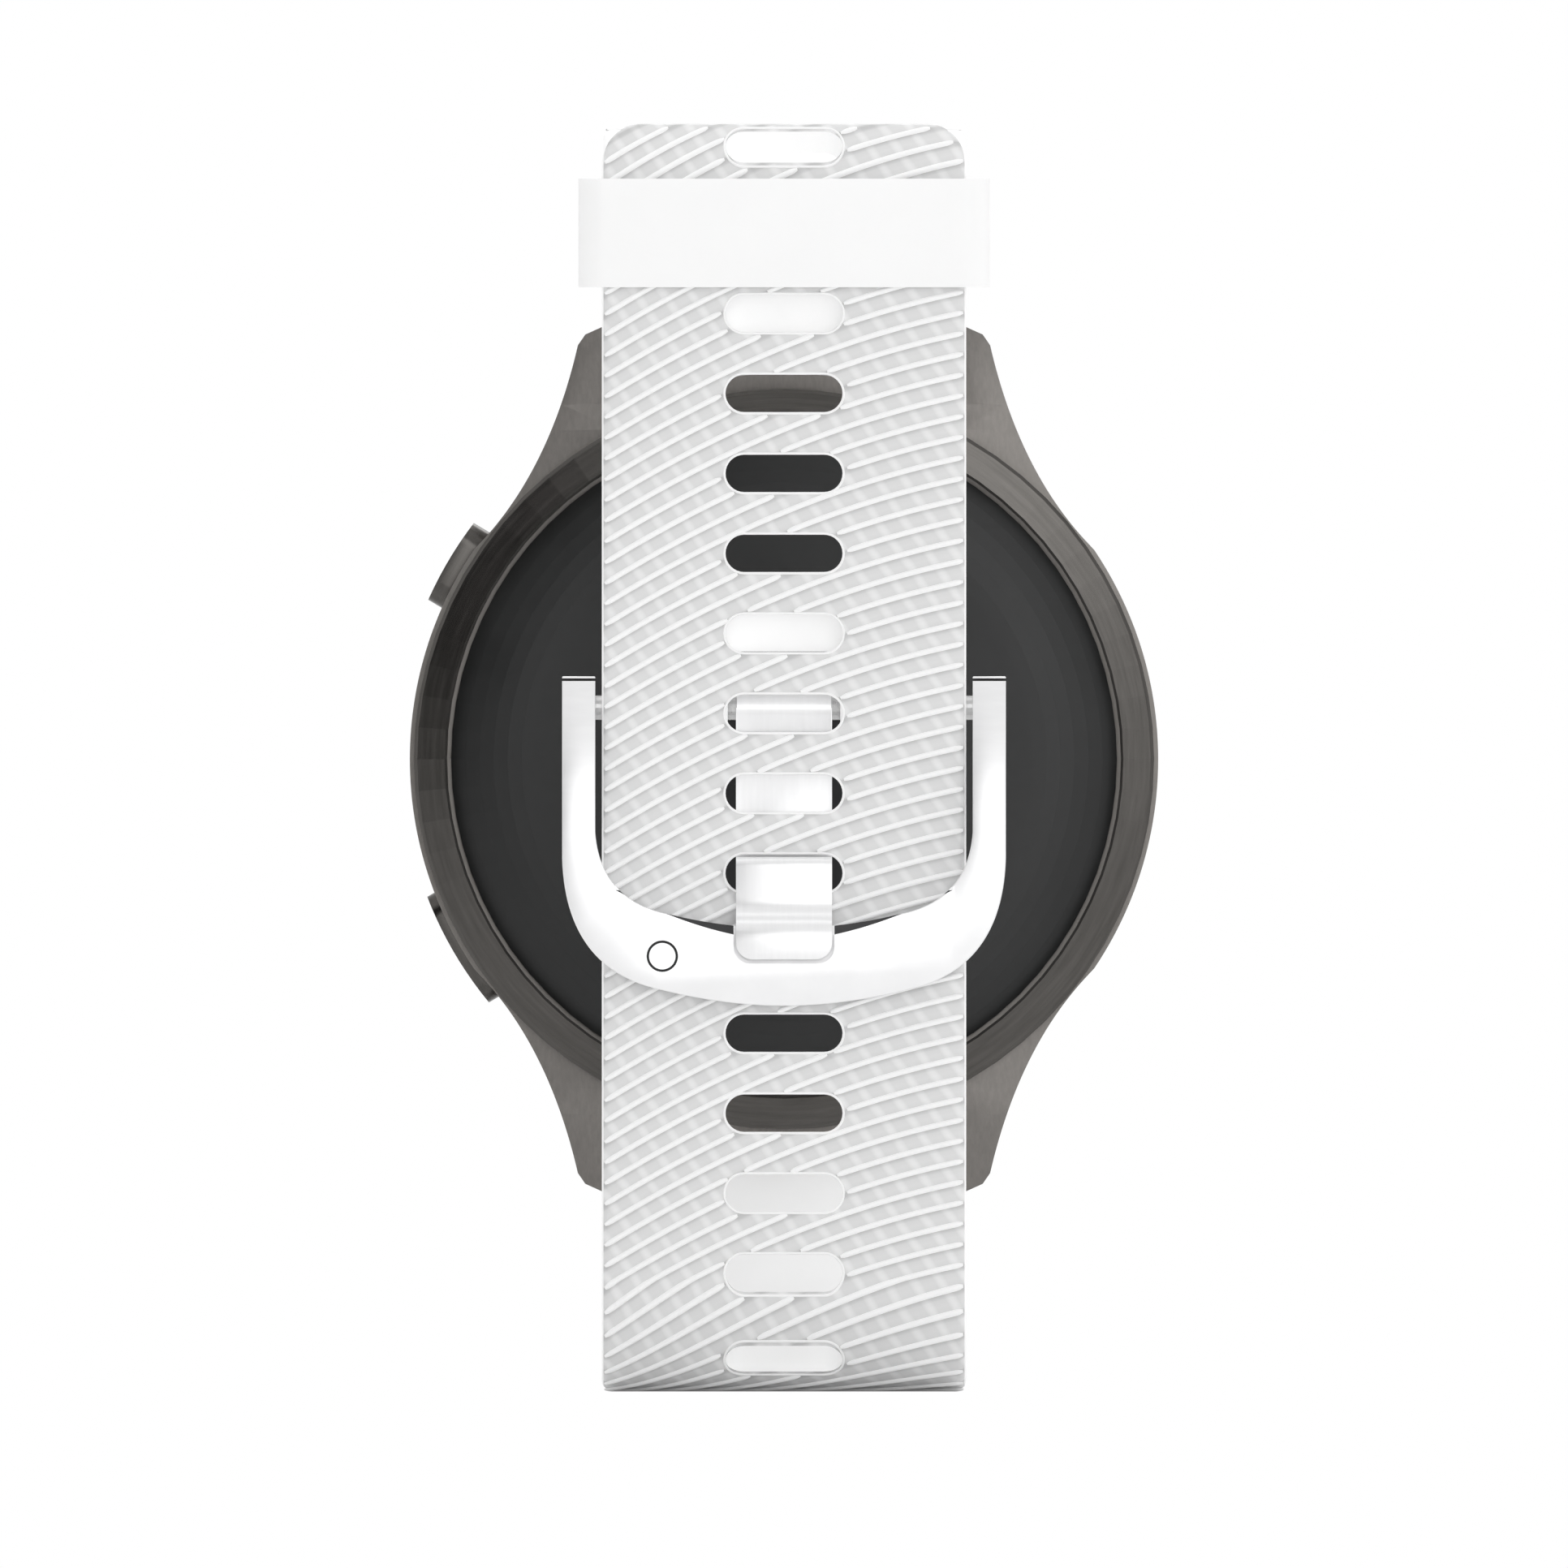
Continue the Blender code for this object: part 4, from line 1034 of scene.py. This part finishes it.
def tongue_side():
    """The tongue seen from the side: under the tail, out through a slot, down onto the bar."""
    under = BUCKLE_Y - 0.3 - TONGUE_T
    over = FRONT_Y - 0.1 - TONGUE_T
    tip = TONGUE_FRONT
    outer = [(under, PIN_Z)] + arc((under - 0.3, -5.6), 0.3, 0, -90, 8)
    outer += arc((over + 0.6, -6.5), 0.6, 90, 180, 14)
    outer += bezier((over, -8.3), (over, -9.1), (-46.8, -9.6), 16)[:-1]
    outer += bezier((-46.8, -9.6), (tip, -10.1), (tip, -11.0), 16)
    inner = [(tip + TONGUE_T, -10.3)]
    inner += bezier((-46.0, -9.75), (over + TONGUE_T, -9.3), (over + TONGUE_T, -8.9), 8)
    inner += [(over + TONGUE_T, -7.2), (over + TONGUE_T + 0.2, -7.05)]
    inner += arc((under + 0.4, -6.45), 0.6, 270, 360, 8)
    low = -12.1
    return outer + [(tip, low), (tip + TONGUE_T, low)] + inner + [(under + TONGUE_T, PIN_Z)]


def make_tongue():
    tongue = side_plate(tongue_side(), TONGUE_W)
    tongue.name = "buckle_tongue_body"
    tip = front_plate([rounded_rectangle(TONGUE_W / 2, 10, 1.0, 10, (0, -2.1))], -50, -38)
    boolean(tongue, [tip], "INTERSECT")
    bevel(tongue, 0.14, 3, 40)
    pin = at(0, BUCKLE_Y, PIN_Z, ALONG_X)
    barrel = plate([disc(1.38, 48)], TONGUE_W - 0.1, pin)
    boolean(tongue, [barrel], "UNION")
    bore = plate([disc(PIN_BORE_R, 24)], 20, pin)
    boolean(tongue, [bore])
    settle(tongue, [tip, barrel, bore], BUCKLE)
    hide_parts("buckle_tongue")
    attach(tongue, "buckle_tongue")


KEEPER_WALL = 1.1


def make_keeper():
    front = FRONT_Y - 0.2 - KEEPER_WALL
    back = BUCKLE_Y + STRAP_T / 2 + 1.45 + KEEPER_WALL
    middle, half = (front + back) / 2, (back - front) / 2
    outer = rounded_rectangle(KEEPER_HALF_W, half, 1.5, 12, (0, middle))
    inner = rounded_rectangle(KEEPER_HALF_W - KEEPER_WALL, half - KEEPER_WALL, 0.6, 8, (0, middle))
    height = KEEPER_HIGH - KEEPER_LOW
    place = at(0, 0, (KEEPER_LOW + KEEPER_HIGH) / 2)
    keeper = plate([outer, inner], height, place, "strap_keeper_body")
    bevel(keeper, 0.4, 5, 60)
    settle(keeper, [], KEEPER)
    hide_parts("strap_keeper")
    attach(keeper, "strap_keeper")


make_tail()
make_buckle_half()
make_case()
make_buttons()
make_frame()
make_tongue()
make_keeper()


# Stage, light and camera

AIM = Vector((0, 0, 0.038))  # the middle of the loop, where the lights point


def make_stage():
    bpy.ops.mesh.primitive_plane_add(size=12, location=(0, 0, -0.00015))
    floor = bpy.context.object
    floor.name = "floor"
    material, shader, _ = new_material("floor_paint")
    shader.inputs["Base Color"].default_value = (0.9, 0.9, 0.9, 1)
    shader.inputs["Roughness"].default_value = 0.7
    floor.data.materials.append(material)


def area_light(name, place, size, watts):
    data = bpy.data.lights.new(name, "AREA")
    data.shape = "RECTANGLE"
    data.size, data.size_y = size
    data.energy = watts
    obj = bpy.data.objects.new(name, data)
    bpy.context.scene.collection.objects.link(obj)
    obj.location = place
    way = AIM - Vector(place)
    obj.rotation_euler = way.to_track_quat("-Z", "Y").to_euler()
    obj.visible_camera = False


WORLD_LIGHT = 0.86
FLAG_WAY = Vector((-0.42, -0.88, 0.24)).normalized()


def make_world():
    """White to the camera, and to everything else a pale tent with a dark flag on the left."""
    world = bpy.data.worlds.new("studio")
    world.use_nodes = True
    tree = world.node_tree
    background = tree.nodes["Background"]
    path = node(tree, "ShaderNodeLightPath")
    seen = node(tree, "ShaderNodeBackground", Color=(1, 1, 1, 1), Strength=1.0)
    mix = node(tree, "ShaderNodeMixShader")
    place = node(tree, "ShaderNodeTexCoord")
    flag = node(tree, "ShaderNodeVectorMath", operation="DISTANCE")
    flag.inputs[1].default_value = FLAG_WAY
    tree.links.new(place.outputs["Generated"], flag.inputs[0])
    tone = ramp(tree, flag.outputs["Value"], (0.03, 0.03, 0.03), (1, 1, 1), 0.24, 0.56)
    tree.links.new(tone.outputs["Color"], background.inputs["Color"])
    background.inputs["Strength"].default_value = WORLD_LIGHT
    tree.links.new(path.outputs["Is Camera Ray"], mix.inputs["Fac"])
    tree.links.new(background.outputs["Background"], mix.inputs[1])
    tree.links.new(seen.outputs["Background"], mix.inputs[2])
    tree.links.new(mix.outputs["Shader"], tree.nodes["World Output"].inputs["Surface"])
    bpy.context.scene.world = world


def make_camera():
    data = bpy.data.cameras.new("camera")
    data.type = "ORTHO"
    data.ortho_scale = 94.7 * MM
    data.clip_start, data.clip_end = 0.01, 20
    camera = bpy.data.objects.new("camera", data)
    bpy.context.scene.collection.objects.link(camera)
    camera.location = (0, -0.6, 36.55 * MM)
    camera.rotation_euler = (math.pi / 2, 0, 0)
    bpy.context.scene.camera = camera


make_stage()
make_world()
area_light("front", (0.08, -0.92, 0.25), (0.5, 0.5), 1.3)
area_light("top", (0.0, 0.1, 0.75), (0.6, 0.4), 0.8)
area_light("back", (0.1, 0.6, 0.5), (0.5, 0.3), 0.8)
make_camera()
bpy.context.scene.view_settings.view_transform = "Standard"
